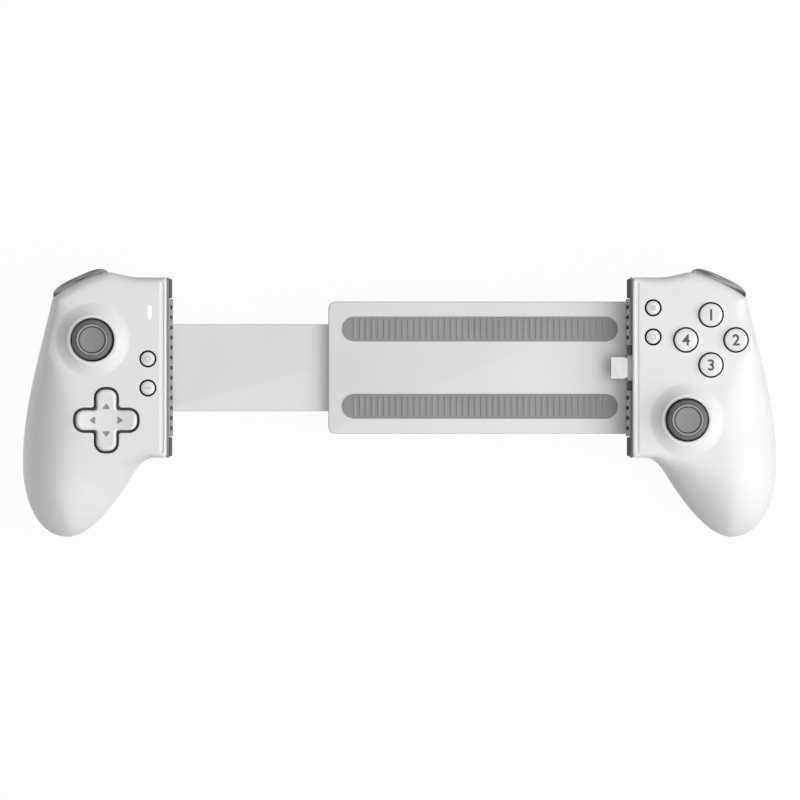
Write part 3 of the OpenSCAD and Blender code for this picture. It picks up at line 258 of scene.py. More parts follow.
# Tones of a stick's cap by the distance from its axis (mm), with light painted in: a painted highlight on the
# crest ring, painted shade in the grooves, on the sloping shoulder, at the rim and on the dome under the shell
STICK_SHADE_RINGS = [(0, 0.26), (4.4, 0.26), (4.58, 0.06), (4.8, 0.06), (4.98, 0.33), (5.52, 0.36), (5.66, 0.07),
               (5.82, 0.07), (6.0, 0.145), (6.9, 0.145), (7.1, 0.05), (8.5, 0.03)]


def stick_rubber(word):
    mat, tree, place = shader(f"stick_rubber_{word}")
    x, y = middle(f"{word}_stick_cap")[:2] * MM
    flat = add_node(tree, "Mapping", place, Location=(-x, -y, 0), Scale=(1, 1, 0))
    reach = STICK_SHADE_RINGS[-1][0]
    away = span(tree, add_node(tree, "VectorMath", flat, operation="LENGTH", out="Value"), 0, reach)
    color = ramp(tree, away, [(radius / reach, (tone, tone, tone * 1.02)) for radius, tone in STICK_SHADE_RINGS])
    fine = noise(tree, place, 4200, 2)
    return surface(mat, color, remap(tree, fine, *about(0.55, GLOSS_SPREAD)), fine, GRAIN_BUMP, 6e-6)


def ribbon_film():
    """Amber film with stripes along it for the conductors."""
    mat, tree, place = shader("ribbon_amber")
    wave = add_node(tree, "TexWave", place, Scale=62.8, bands_direction="Y", out="Fac")
    color = ramp(tree, wave, [(0.35, (0.72, 0.40, 0.11)), (0.6, (0.46, 0.22, 0.05))])
    return surface(mat, color, remap(tree, noise(tree, place, 1800, 2), 0.32, 0.48), wave, 0.3, 2e-5)


def board_mask():
    """Green solder mask with copper runs showing through as paler lines."""
    mat, tree, place = shader("board_mask")
    cells = add_node(tree, "TexVoronoi", place, Scale=420, feature="DISTANCE_TO_EDGE", out="Distance")
    color = ramp(tree, cells, [(0.05, (0.05, 0.24, 0.12)), (0.12, (0.02, 0.12, 0.06))])
    return surface(mat, color, remap(tree, noise(tree, place, 900, 3), 0.3, 0.45), cells, 0.2, 2e-5)


WHITE, BUTTON_WHITE = (0.87, 0.87, 0.873), (0.86, 0.86, 0.866)
# Painted shade for gaps: near black for holes and button sides, a softer grey for the D-pad's
GAP_SHADE_TONE, SOFT_GAP_SHADE_TONE = (0.014, 0.014, 0.015), (0.16, 0.16, 0.165)
MATERIALS = {
    "white_shell": moulded("white_shell_satin", WHITE, 0.44, 3200, 1.5e-6, 0.015, Specular_IOR_Level=0.3),
    # Its side below the shell's face is painted near black: painted shade for the gap round it
    "white_button": moulded("white_button_gloss", BUTTON_WHITE, 0.3, 3200, 1.5e-6, 0.015, GAP_SHADE_TONE),
    "stick_rubber": moulded("stick_rubber_matt", (0.25, 0.25, 0.255), 0.55, 4200, 6e-6, 0.12),
    "trigger_plastic": moulded("trigger_satin", (0.72, 0.72, 0.73), 0.42, 2600, 4e-6, 0.03),
    "pad_rubber": moulded("pad_rubber_matt", (0.38, 0.38, 0.385), 0.7, 3600, 8e-6, 0.12),
    "dark_plastic": moulded("dark_plastic_grain", (0.075, 0.075, 0.08), 0.5, 3600, 6e-6, 0.1),
    "board": board_mask(),
    "silicone": moulded("silicone_milky", (0.62, 0.62, 0.6), 0.55, 2200, 4e-6, 0.06, Subsurface_Weight=0.1),
    "steel": metal("steel_bright", (0.62, 0.62, 0.63), 0.24, (0.15, 1, 1)),
    "sheet_metal": metal("sheet_metal_stamped", (0.6, 0.6, 0.61), 0.38),
    "inner_plastic": moulded("inner_plastic_plain", (0.74, 0.74, 0.73), 0.5, 2400, 4e-6, 0.04),
    "bridge_plastic": moulded("bridge_plastic_fine", (0.80, 0.80, 0.805), 0.45, 3000, 8e-6, 0.03),
    "strip_rubber": moulded("strip_rubber_soft", (0.33, 0.33, 0.34), 0.68, 3600, 8e-6, 0.12),
    "ribbon": ribbon_film(),
    "plug_metal": metal("plug_metal_polished", (0.78, 0.78, 0.78), 0.17, (1, 0.2, 1)),
    "plug_black": moulded("plug_black_tongue", (0.02, 0.02, 0.022), 0.45, 3600, 4e-6, 0.2),
    "light_pipe": moulded("light_pipe_lit", (0.95, 0.96, 0.98), 0.25, 2400, 1e-6, 0.01,
                          Emission_Color=(0.94, 0.97, 1, 1), Emission_Strength=0.55),
}
SMOKE = {side: smoke(side) for side in SIDES}
STICK_RUBBER = {side: stick_rubber(word) for side, word in SIDES.items()}
# The D-pad's sides below the face are painted grey: painted shade for the gap round it
DPAD_WHITE = moulded("dpad_gloss", BUTTON_WHITE, 0.3, 3200, 1.5e-6, 0.015, SOFT_GAP_SHADE_TONE)
# Hole walls in the front shells: painted shadow of the gaps, near black, and a softer grey for the D-pad
GAP_SHADE = moulded("gap_shadow", GAP_SHADE_TONE, 0.6, 2600, 2e-6, 0.2)
GAP_SOFT_SHADE = moulded("gap_shadow_soft", SOFT_GAP_SHADE_TONE, 0.6, 2600, 2e-6, 0.2)
COLLAR = moulded("collar_gloss", (0.86, 0.86, 0.865), 0.3, 3200, 1e-6, 0.01, Metallic=0.4)
CARRIER = moulded("carrier_grey", (0.25, 0.25, 0.255), 0.55, 3600, 6e-6, 0.1)
LEGEND = moulded("legend_ink", (0.085, 0.085, 0.09), 0.5, 2600, 2e-6, 0.15)
FAINT = moulded("icon_ink", (0.52, 0.52, 0.53), 0.5, 2600, 2e-6, 0.1)
ARROW = moulded("arrow_ink", (0.30, 0.30, 0.31), 0.5, 2600, 2e-6, 0.1)


# Objects
def add_object(name, data):
    obj = bpy.data.objects.new(name, data)
    SCENE.collection.objects.link(obj)
    return obj


def raw_object(name, verts, faces):
    """Mesh object from points in millimetres."""
    mesh = bpy.data.meshes.new(name)
    mesh.from_pydata((np.asarray(verts, float) * MM).tolist(), [], [list(map(int, f)) for f in faces])
    mesh.update()
    return add_object(name, mesh)


def form(node, shape):
    """Mesh object that is to stand for a CAD node."""
    return raw_object(f"{node}_form", *shape)


def bake(obj):
    """Applies the object's modifiers to its mesh."""
    graph = bpy.context.evaluated_depsgraph_get()
    mesh = bpy.data.meshes.new_from_object(obj.evaluated_get(graph))
    obj.modifiers.clear()
    old, obj.data = obj.data, mesh
    bpy.data.meshes.remove(old)


def finish(obj, body, slot, material=None, sharp=35):
    """Gives a piece its shading, its body, if any, and a material, unless it has some: by default its slot's.
    """
    if not obj.data.materials:
        obj.data.materials.append(material or MATERIALS[slot])
    obj.data.shade_smooth()
    obj.data.set_sharp_from_angle(angle=math.radians(sharp))
    if body:
        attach(obj, body)


def trim(name, shape, body, slot, material=None, sharp=35):
    """A piece that stands for no CAD node."""
    obj = raw_object(name, *shape)
    finish(obj, body, slot, material, sharp)
    return obj


def stand_for(node, obj, material=None, sharp=35, rides=True):
    """Finishes the piece that stands for a CAD node."""
    finish(obj, BODY_OF[node] if rides else None, SLOT_OF[node], material, sharp)
    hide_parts(node)


def piece(node, shape, material=None, sharp=35):
    """A piece that stands for a CAD node."""
    stand_for(node, form(node, shape), material, sharp)


# Shapes: (verts, faces)
def quads(a, b):
    """Faces between two rings of point numbers."""
    return [[a[i - 1], a[i], b[i], b[i - 1]] for i in range(len(a))]


def tube(rings):
    """Solid through rings of equal length, each end closed by one face."""
    index = np.arange(len(rings) * len(rings[0])).reshape(len(rings), -1)
    faces = [f for a, b in zip(index, index[1:]) for f in quads(a, b)]
    return np.vstack(rings), faces + [index[0][::-1], index[-1]]


def circle(sides):
    angles = np.arange(sides) * 2 * math.pi / sides
    return np.stack([np.cos(angles), np.sin(angles)], 1)


def with_z(plan, z):
    return np.column_stack([plan, np.broadcast_to(z, len(plan))])


def with_x(x, section):
    return np.column_stack([np.full(len(section), x), section])


def lathe(profile, centre, sides=72, groove=None, grooved=()):
    """Solid of revolution about Z through (radius, height) points from the bottom up.

    groove narrows the points whose numbers are in grooved."""
    rings = []
    for k, (r, z) in enumerate(profile):
        radius = np.full(sides, max(r, 0.01)) - (groove if k in grooved else 0)
        rings.append(with_z(circle(sides) * radius[:, None] + np.asarray(centre)[:2], z))
    return tube(rings)


def joined(shapes):
    """Several shapes as one."""
    verts, faces, start = [], [], 0
    for v, f in shapes:
        verts.append(v)
        faces += [[i + start for i in face] for face in f]
        start += len(v)
    return np.concatenate(verts), faces


def arc(centre, radius, from_deg, to_deg, steps):
    angles = np.radians(np.linspace(from_deg, to_deg, steps + 1))
    return np.stack([centre[0] + radius * np.cos(angles), centre[1] + radius * np.sin(angles)], 1)


def quarter(edge, steps):
    """A rounded edge, as (inset, drop) from (edge, 0) to (0, edge)."""
    angles = [math.pi / 2 * k / steps for k in range(steps + 1)]
    return [(edge * (1 - math.sin(a)), edge * (1 - math.cos(a))) for a in angles]


def turned(points, quarters):
    """Plan points turned by quarter turns about the origin."""
    c, s = [(1, 0), (0, 1), (-1, 0), (0, -1)][quarters]
    x, y = np.asarray(points, float).T
    return np.stack([c * x - s * y, s * x + c * y], 1)


def rounded_polygon(corners, radii, steps=6):
    """Counter-clockwise polygon with rounded corners, convex or not; each corner gives as many points."""
    corners = np.asarray(corners, float)
    out = []
    for i, corner in enumerate(corners):
        a = corners[i - 1] - corner
        b = corners[(i + 1) % len(corners)] - corner
        a, b = a / np.linalg.norm(a), b / np.linalg.norm(b)
        half = math.acos(np.clip(a @ b, -1, 1)) / 2
        reach = radii[i] / math.tan(half)
        centre = corner + (a + b) / np.linalg.norm(a + b) * radii[i] / math.sin(half)
        start, end = corner + a * reach - centre, corner + b * reach - centre
        turn = math.atan2(start[0] * end[1] - start[1] * end[0], start @ end)
        for k in range(steps + 1):
            c, s = math.cos(turn * k / steps), math.sin(turn * k / steps)
            out.append(centre + [c * start[0] - s * start[1], s * start[0] + c * start[1]])
    return np.array(out)


def rounded_rect(half_x, half_y, radius, steps=6):
    corners = [(half_x, -half_y), (half_x, half_y), (-half_x, half_y), (-half_x, -half_y)]
    return rounded_polygon(corners, [radius] * 4, steps)


def stadium(length, width, steps=10):
    """Counter-clockwise stadium along Y."""
    r, reach = width / 2, (length - width) / 2
    return np.vstack([arc((0, reach), r, 0, 180, steps), arc((0, -reach), r, 180, 360, steps)])


def cross_plan(reach, half_w, end_r, inner_r):
    """Counter-clockwise cross with rounded ends and inner corners."""
    arm = [(reach, -half_w), (reach, half_w), (half_w, half_w)]
    return rounded_polygon(np.vstack([turned(arm, k) for k in range(4)]), [end_r, end_r, inner_r] * 4)


def soft_slab(outline, low, high, edge, steps=4):
    """Plate with rounded top and bottom edges: outline(inset) gives its plan."""
    bend = quarter(edge, steps)
    levels = [(inset, low + drop) for inset, drop in bend]
    levels += [(inset, high - drop) for inset, drop in bend[::-1]]
    return tube([with_z(outline(inset), z) for inset, z in levels])


def soft_box(low, high, edge, corner=None):
    """Box with rounded edges all round."""
    low, high = np.asarray(low, float), np.asarray(high, float)
    mid, half = (low + high) / 2, (high - low) / 2
    corner = edge if corner is None else corner

    def outline(inset):
        return rounded_rect(half[0] - inset, half[1] - inset, max(corner - inset, 0.02), 4) + mid[:2]
    return soft_slab(outline, low[2], high[2], edge)


def triangulate(flat, loops):
    """Triangles of plan points; the points begin with closed loops of these lengths, whose edges are kept."""
    edges, start = [], 0
    for n in loops:
        edges += [(start + i, start + (i + 1) % n) for i in range(n)]
        start += n
    _, _, triangles, origin, _, _ = delaunay_2d_cdt([Vector(p) for p in flat], edges, [], 0, 1e-6)
    first = np.array([o[0] if o else -1 for o in origin])
    triangles = first[np.array(triangles)]
    return triangles[triangles.min(1) >= 0]


def inside(points, polygon):
    """Even-odd test of plan points against a closed polygon."""
    x, y = points[:, 0][:, None], points[:, 1][:, None]
    a, b = polygon, np.roll(polygon, -1, 0)
    crosses = (a[None, :, 1] > y) != (b[None, :, 1] > y)
    run = np.where(b[:, 1] == a[:, 1], 1e-9, b[:, 1] - a[:, 1])
    at = a[:, 0] + (y - a[:, 1]) * (b[:, 0] - a[:, 0]) / run
    return (crosses & (x < at)).sum(1) % 2 == 1


# Grip outline
def bezier(p0, p1, p2, p3, steps=48):
    t = np.linspace(0, 1, steps + 1)[:, None]
    p0, p1, p2, p3 = (np.asarray(p, float) for p in (p0, p1, p2, p3))
    return p0 * (1 - t) ** 3 + 3 * p1 * t * (1 - t) ** 2 + 3 * p2 * t * t * (1 - t) + p3 * t ** 3


def resample(points, step):
    """Points at even steps along a closed line."""
    loop = np.vstack([points, points[:1]])
    along = np.concatenate([[0], np.cumsum(np.linalg.norm(np.diff(loop, axis=0), axis=1))])
    at = np.arange(0, along[-1], along[-1] / round(along[-1] / step))
    return np.stack([np.interp(at, along, loop[:, k]) for k in (0, 1)], 1)


def blur(values, sigma, reach, axis=0):
    """Gaussian smoothing of values that run round; sigma and reach are in samples."""
    shifts = np.arange(-reach, reach + 1)
    weights = np.exp(-0.5 * (shifts / sigma) ** 2)
    weights /= weights.sum()
    return sum(w * np.roll(values, k, axis=axis) for k, w in zip(shifts, weights))


def smooth_loop(values, sigma):
    return blur(values, sigma, int(4 * sigma) + 1)


WALL_TOP, WALL_LOW, CHIN_X = 45.2, -20.0, 4.5
WIDEST, TIP, WAIST = np.array([52.5, -22.0]), np.array([36.3, -48.8]), np.array([12.8, -26.6])
WAIST_RUN = np.array([0.53, -0.85])
OUTLINE_STEP, FINE_STEP = 0.55, 0.2


def grip_outline():
    """Clockwise outline of a grip, from the foot of its inner wall."""
    lines = [
        np.array([[0, WALL_LOW], [0, WALL_TOP]]),
        bezier((0.43 * CROWN[0], WALL_TOP), (0.65 * CROWN[0], WALL_TOP), (0.82 * CROWN[0], 46.6), CROWN),
        bezier(CROWN, (28.01, 45.79), (35.43, 42.03), SHOULDER),
        bezier(SHOULDER, (46.1, 17.8), (WIDEST[0], WIDEST[1] + 20), WIDEST),
        bezier(WIDEST, (WIDEST[0], -35.94), (46.99, TIP[1]), TIP),
        bezier(TIP, (28.55, TIP[1]), WAIST + 13 * WAIST_RUN, WAIST),
        bezier(WAIST, WAIST - 4.5 * WAIST_RUN, (8.48, WALL_LOW), (CHIN_X, WALL_LOW)),
    ]
    return resample(smooth_loop(resample(np.vstack(lines), FINE_STEP), 3.2), OUTLINE_STEP)


OUTLINE = grip_outline()
TANGENT = smooth_loop(np.roll(OUTLINE, -1, 0) - np.roll(OUTLINE, 1, 0), 1.6)
TANGENT /= np.linalg.norm(TANGENT, axis=1)[:, None]
INWARD = np.stack([TANGENT[:, 1], -TANGENT[:, 0]], 1)


def room_inside():
    """Radius of the largest circle that fits inside the outline and touches it at each station."""
    apart = OUTLINE[None, :, :] - OUTLINE[:, None, :]
    along = np.einsum("ijk,ik->ij", apart, INWARD)
    square = (apart ** 2).sum(2)
    return np.where(along > 1e-3, square / np.maximum(2 * along, 1e-9), 1e9).min(1)


def by_station(table):
    """Values along the outline, from (point near the outline, value, value...) rows."""
    n = len(OUTLINE)
    rows = sorted((int(((OUTLINE - at) ** 2).sum(1).argmin()), *values) for at, *values in table)
    at, *columns = np.array(rows, float).T
    at = np.concatenate([at - n, at, at + n])
    return [smooth_loop(np.interp(np.arange(n), at, np.tile(values, 3)), 3.0) for values in columns]


# Rounding along the outline: (near point, width of the rounding, share of the depth it takes, its power)
FRONT_ROUNDING = [
    ((0, -18.5), 0.9, 0.06, 2.4), ((0, 43.5), 0.9, 0.06, 2.4), ((3, 45.2), 3.6, 0.28, 2.4),
    ((14, 45.6), 4.4, 0.33, 2.4), ((20.8, 47.2), 4.4, 0.33, 2.4), ((31, 43), 4.0, 0.36, 2.4),
    ((40, 39), 4.5, 0.37, 2.4), ((42.4, 34), 5.5, 0.85, 2.4), ((44, 26), 4.4, 0.9, 2.4),
    ((45, 19), 4.8, 0.92, 2.4), ((46.3, 12), 13, 0.975, 2.3), ((49, 0), 20, 0.975, 2.1),
    ((52, -12), 23, 0.975, 2.05), ((52.5, -22), 23, 0.975, 2.0), ((36, -48.8), 22, 0.97, 2.0),
    ((20, -38), 19, 0.97, 2.0), ((12.8, -26.6), 12, 0.95, 2.1), ((9.5, -22.0), 4.5, 0.7, 2.4),
    ((4.5, -20), 1.4, 0.2, 2.4),
]
REAR_ROUNDING = [
    ((0, -18.5), 20, 0.5, 2.3), ((0, 43.5), 18, 0.5, 2.3), ((3, 45.2), 5, 0.9, 2.3),
    ((20.8, 47.2), 4, 0.9, 2.3), ((31, 43), 4, 0.9, 2.3), ((40, 39), 6, 0.93, 2.3),
    ((44, 27), 14, 0.97, 2.3), ((47, 12), 18, 0.97, 2.3), ((52.5, -22), 20, 0.97, 2.3),
    ((36, -48.8), 20, 0.97, 2.3), ((20, -38), 18, 0.97, 2.3), ((12.8, -26.6), 12, 0.93, 2.3),
    ((9.5, -22.0), 8, 0.7, 2.3), ((4.5, -20), 8, 0.5, 2.3),
]
ROOM = smooth_loop(0.96 * room_inside(), 4.0)
ROUNDING = {}
for part, rows in ((FRONT, FRONT_ROUNDING), (REAR, REAR_ROUNDING)):
    width, share, power = by_station(rows)
    ROUNDING[part] = (np.minimum(width, ROOM), share, power)


SEAM_Z, SEAM_SLOPE = 18, 0.1
FACE_Z = 36


def seam_z(y):
    return SEAM_Z + SEAM_SLOPE * y


def bend_z(height, run, power):
    """Height of a bend that starts where its share of the run is 0 and is full at 1."""
    return height * np.clip(run, 0, None) ** power


def crest_z(part, y):
    """Height of the front face, which falls to the tip, or of the back, away from the edges."""
    if part == FRONT:
        return FACE_Z - bend_z(14, (-18 - y) / 30.8, 1.9)
    tip, hump = bend_z(5.5, (-28 - y) / 20.8, 2.2), bend_z(20, (y - 24) / 23.2, 2.6)
    saddle = 2.4 * ease((y + 28) / 23) * ease((24 - y) / 29)
    return tip + saddle + hump


def rounded_z(part, y, depth, station):
    """Height at a depth inside the outline, by the rounding of a station."""
    width, share, power = ROUNDING[part]
    t = np.clip(depth / width[station], 0, 1)
    rise = (1 - (1 - t) ** power[station]) ** (1 / power[station])
    crest = crest_z(part, y)
    return crest + (seam_z(y) - crest) * share[station] * (1 - rise)


CHUNK, NEAR = 4000, 1.5


def nearest(points):
    """(distance to the outline, nearest station) of plan points inside it."""
    square, station = [], []
    for chunk in np.array_split(points, len(points) // CHUNK + 1):
        away = ((chunk[:, None, :] - OUTLINE[None]) ** 2).sum(2)
        square.append(away.min(1))
        station.append(away.argmin(1))
    away, station = np.sqrt(np.concatenate(square)), np.concatenate(station)
    normal = ((points - OUTLINE[station]) * INWARD[station]).sum(1)
    return np.where(away < NEAR, normal, away), station


GRID_STEP = 0.5
GRID_X, GRID_Y = np.arange(-2, 56, GRID_STEP), np.arange(-52, 51, GRID_STEP)


def plan_grid(x, y):
    return np.stack([g.ravel() for g in np.meshgrid(x, y, indexing="ij")], 1)


def smooth_field(part):
    """Heights on a grid, smoothed so that no crease is left where two edges' roundings meet."""
    points = plan_grid(GRID_X, GRID_Y)
    z = rounded_z(part, points[:, 1], *nearest(points)).reshape(len(GRID_X), len(GRID_Y))
    for axis in (0, 1):
        z = blur(z, 3.0, 9, axis)
    return z


FIELD = {part: smooth_field(part) for part in (FRONT, REAR)}


def field_z(part, points):
    """Bilinear reading of the smoothed heights."""
    u, v = ((points - (GRID_X[0], GRID_Y[0])) / GRID_STEP).T
    i = np.clip(u.astype(int), 0, len(GRID_X) - 2)
    j = np.clip(v.astype(int), 0, len(GRID_Y) - 2)
    u, v = u - i, v - j
    f = FIELD[part]
    return (f[i, j] * (1 - u) * (1 - v) + f[i + 1, j] * u * (1 - v)
            + f[i, j + 1] * (1 - u) * v + f[i + 1, j + 1] * u * v)


# A low strip runs along the inner wall of the front face
STEP_X, STEP_RUN, STEP_H, STEP_ENDS = 2.0, 0.45, 0.35, (-18.4, 44.2)
# Depth inside the outline from which the smoothed heights take over
SMOOTH_FROM, SMOOTH_RUN = 2.0, 4.0


def face_z(part, points):
    """Height of a grip's face at plan points."""
    x, y = points.T
    depth, station = nearest(points)
    share = ease((depth - SMOOTH_FROM) / SMOOTH_RUN)
    z = rounded_z(part, y, depth, station) * (1 - share) + field_z(part, points) * share
    if part == FRONT:
        strip = 1 - ease((x - STEP_X) / STEP_RUN)
        z = z - STEP_H * strip * ease(y - STEP_ENDS[0]) * ease(STEP_ENDS[1] - y)
    return z


# Shells
# Material numbers in a front shell: painted gap shadow, soft painted gap shadow, collar
GAP_SHADE_INDEX, SOFT_SHADE_INDEX, COLLAR_INDEX = 1, 2, 3
MOUND, FLAT = "mound", "flat"
RIM_H, RIM_R, RIM_STEP, RIM_RUN, MOUND_R, MOUND_POWER = 38.2, 9.15, 0.16, 0.12, 13.3, 1.15
FLAT_Z, FLAT_R, FLAT_RUN, EDGE_RUN = 35.9, 5.2, 2.6, 0.9
# Radii of the rings of points round such a hole; the grid keeps out of the last one
RINGS = {
    MOUND: (8.6, RIM_R - RIM_RUN, RIM_R, 9.5, 10.0, 10.6, 11.2, 11.9, 12.6, 13.3, 13.7, 14.3, 14.75),
    FLAT: (5.2, 5.5, 5.8, 6.2, 6.6, 7.0, 7.4, 7.8, 8.15),
}
SIDE_DEPTHS = (0.0, 0.02, 0.07, 0.16, 0.3, 0.5, 0.8, 1.15)
SEAM_INSETS, SEAM_LIP = (0.14, 0.02), 0.16
# Grid of a face's points, and how far its points keep from the border and from holes
FACE_X, FACE_Y, FACE_STEP, LINE_STEP = (0, 54), (-50, 49), 0.85, 0.8
BORDER_CLEAR, GRID_CLEAR, HOLE_CLEAR = 0.35, 0.45, 0.2
SHELL_T, THIN_SHARE = 1.2, 0.1


class Hole(NamedTuple):
    """Opening in a shell: plan(offset) is its counter-clockwise edge, offset outwards."""
    plan: object
    fillet: float
    depth: float
    at: object = None       # its middle, where a form of the face lies round it
    around: str = ""        # that form: MOUND, with a collar, or FLAT
    floor: float = None     # height at which its wall ends, in place of depth
    # By default the wall is painted dark: painted shadow of the gap
    wall: int = GAP_SHADE_INDEX   # material of its wall


def circle_hole(centre, radius, fillet, depth, sides=56, **more):
    return Hole(lambda offset: centre + circle(sides) * (radius + offset), fillet, depth, centre, **more)


def shell_z(part, points, holes):
    """Height of a shell: its face, the mound and collar round a stick, the flat round a face button."""
    z = face_z(part, points)
    for hole in holes:
        if not hole.around:
            continue
        r = np.linalg.norm(points - hole.at, axis=1)
        if hole.around == MOUND:
            share = np.clip(1 - (r - RIM_R) / (MOUND_R - RIM_R), 0, 1) ** MOUND_POWER
            step = RIM_STEP * np.clip((r - RIM_R + RIM_RUN) / RIM_RUN, 0, 1)
            z = z * (1 - share) + (RIM_H - step) * share
        else:
            share = 1 - ease((r - FLAT_R) / FLAT_RUN)
            share = share * ease((nearest(points)[0] - SIDE_DEPTHS[-1]) / EDGE_RUN)
            z = z + share * np.clip(FLAT_Z - z, 0, None)
    return z


def face_points(part, border, holes):
    """Plan points of a shell's face: rings round some holes, lines along the step, and a grid."""
    extra = []
    rows = np.arange(*FACE_Y, FACE_STEP * 0.866)
    grid = plan_grid(np.arange(*FACE_X, FACE_STEP), rows)
    grid[:, 0] += np.arange(len(grid)) % len(rows) % 2 * FACE_STEP / 2
    if part == FRONT:
        run = np.arange(-17.8, 43.6, LINE_STEP)
        lines = np.linspace(STEP_X - 0.06, STEP_X + STEP_RUN + 0.06, 5)
        extra += [with_x(x, run[:, None]) for x in lines]
        x, y = grid.T
        on_step = (x > STEP_X - 0.4) & (x < STEP_X + STEP_RUN + 0.4) & (y > -18.2) & (y < 44)
        grid = grid[~on_step]
    for hole in holes:
        blocked = hole.plan(hole.fillet + GRID_CLEAR)
        if hole.around:
            unit = (hole.plan(0) - hole.at) / np.linalg.norm(hole.plan(0)[0] - hole.at)
            *rings, blocked = [hole.at + unit * r for r in RINGS[hole.around]]
            extra += rings
        grid = grid[~inside(grid, blocked)]
    points = np.vstack([*extra, grid])
    points = points[inside(points, border)]
    points = points[nearest(points)[0] > SIDE_DEPTHS[-1] + BORDER_CLEAR]
    for hole in holes:
        points = points[~inside(points, hole.plan(hole.fillet + HOLE_CLEAR))]
    return points


def shell_mesh(part, holes):
    """Outer skin of one right half shell, open at the seam.

    Returns its shape, each face's material index, and the points of hole walls that have to stay thin."""
    n = len(OUTLINE)
    stations, y = np.arange(n), OUTLINE[:, 1]
    seam, edge = seam_z(y), rounded_z(part, y, np.zeros(n), np.arange(n))
    start = seam + SEAM_LIP * np.sign(edge - seam)
    rings = [with_z(OUTLINE + inset * INWARD, z) for inset, z in zip(SEAM_INSETS, (seam, start))]
    rings += [with_z(OUTLINE, start + (edge - start) * share) for share in (0.35, 0.7)]
    for depth in SIDE_DEPTHS:
        plan = OUTLINE + depth * INWARD
        rings.append(with_z(plan, rounded_z(part, plan[:, 1], depth, stations)))
    # The last ring takes its height from the face, so that both meet
    border = rings[-1][:, :2]
    rings[-1] = with_z(border, shell_z(part, border, holes))
    index = np.arange(len(rings) * n).reshape(-1, n)
    faces = [[q[0], q[3], q[2], q[1]] for a, b in zip(index, index[1:]) for q in quads(a, b)]
    marks = [0] * len(faces)

    # The face is a plane triangulation of the border, the holes' edges and loose points, lifted to its height
    tops = [hole.plan(hole.fillet) for hole in holes]
    flat = np.vstack([border, *tops, face_points(part, border, holes)])
    number = np.arange(len(flat)) + index[-1][0]
    verts = rings + [with_z(flat[n:], shell_z(part, flat[n:], holes))]
    triangles = triangulate(flat, [n, *map(len, tops)])
    centres = flat[triangles].mean(1)
    keep = inside(centres, border)
    for top in tops:
        keep &= ~inside(centres, top)
    collar = np.zeros(len(centres), bool)
    for hole in holes:
        if hole.around == MOUND:
            collar |= np.linalg.norm(centres - hole.at, axis=1) < RIM_R
    faces += number[triangles[keep]].tolist()
    marks += np.where(collar[keep], COLLAR_INDEX, 0).tolist()

    # Rolled edge and wall of each hole
    thin, total, at = [], number[-1] + 1, n
    for hole, top in zip(holes, tops):
        m = len(top)
        last = number[at:at + m]
        at += m
        surface_z = shell_z(part, top, holes)
        for offset, drop in quarter(hole.fillet, 4)[1:] + [(0, hole.depth * 0.5), (0, hole.depth)]:
            on_wall = offset == 0 and drop > hole.fillet
            # Walls below the rolled edge take the hole's painted shadow material
            mark = hole.wall if on_wall else COLLAR_INDEX if hole.around == MOUND else 0
            to_floor = hole.floor is not None and drop == hole.depth
            verts.append(with_z(hole.plan(offset), hole.floor if to_floor else surface_z - part * drop))
            ring = np.arange(total, total + m)
            if hole.around == FLAT:
                thin += ring.tolist()
            faces += quads(last, ring)
            marks += [mark] * m
            last, total = ring, total + m
    # Faces are drawn for the front shell, and turned over for the rear one
    return (grip_frame(np.vstack(verts)), [f[::part] for f in faces]), marks, thin


BOX_FACES = [[0, 2, 3, 1], [4, 5, 7, 6], [0, 1, 5, 4], [2, 6, 7, 3], [0, 4, 6, 2], [1, 3, 7, 5]]


def block(x, y, z, place=np.asarray):
    """Six-sided cutter between pairs of x, y and z."""
    return place([(a, b, c) for c in z for b in y for a in x]), BOX_FACES


def cut(obj, shape, folded=False):
    """Takes a block out of an object, whose mesh may cross itself where it is folded."""
    cutter = raw_object("cutter", *shape)
    modifier = obj.modifiers.new("cut", "BOOLEAN")
    modifier.operation, modifier.solver = "DIFFERENCE", "EXACT"
    modifier.object, modifier.use_self = cutter, folded
    bake(obj)
    mesh = cutter.data
    bpy.data.objects.remove(cutter)
    bpy.data.meshes.remove(mesh)


POCKET_HALF, POCKET_BACK, POCKET_Z = SHOULDER_HALF + 0.4, -4.3, (19.7, 31.0)
FAR = 40.0
TRIGGER_HALF, TRIGGER_BACK, TRIGGER_Z = 8.6, -9.0, (-FAR, POCKET_Z[0] + 0.5)
SLOT_Y, SLOT_Z = about(CRADLE_Y, 16.1), (14.7, 19.1)
PLUG_AT = middle("plug_shell")
WINDOW_Y, WINDOW_Z = about(PLUG_AT[1], 8.15), about(PLUG_AT[2], 4)
WALL_CUT = (-2, SHELL_T + 2)
SHELL_SHARP = 40


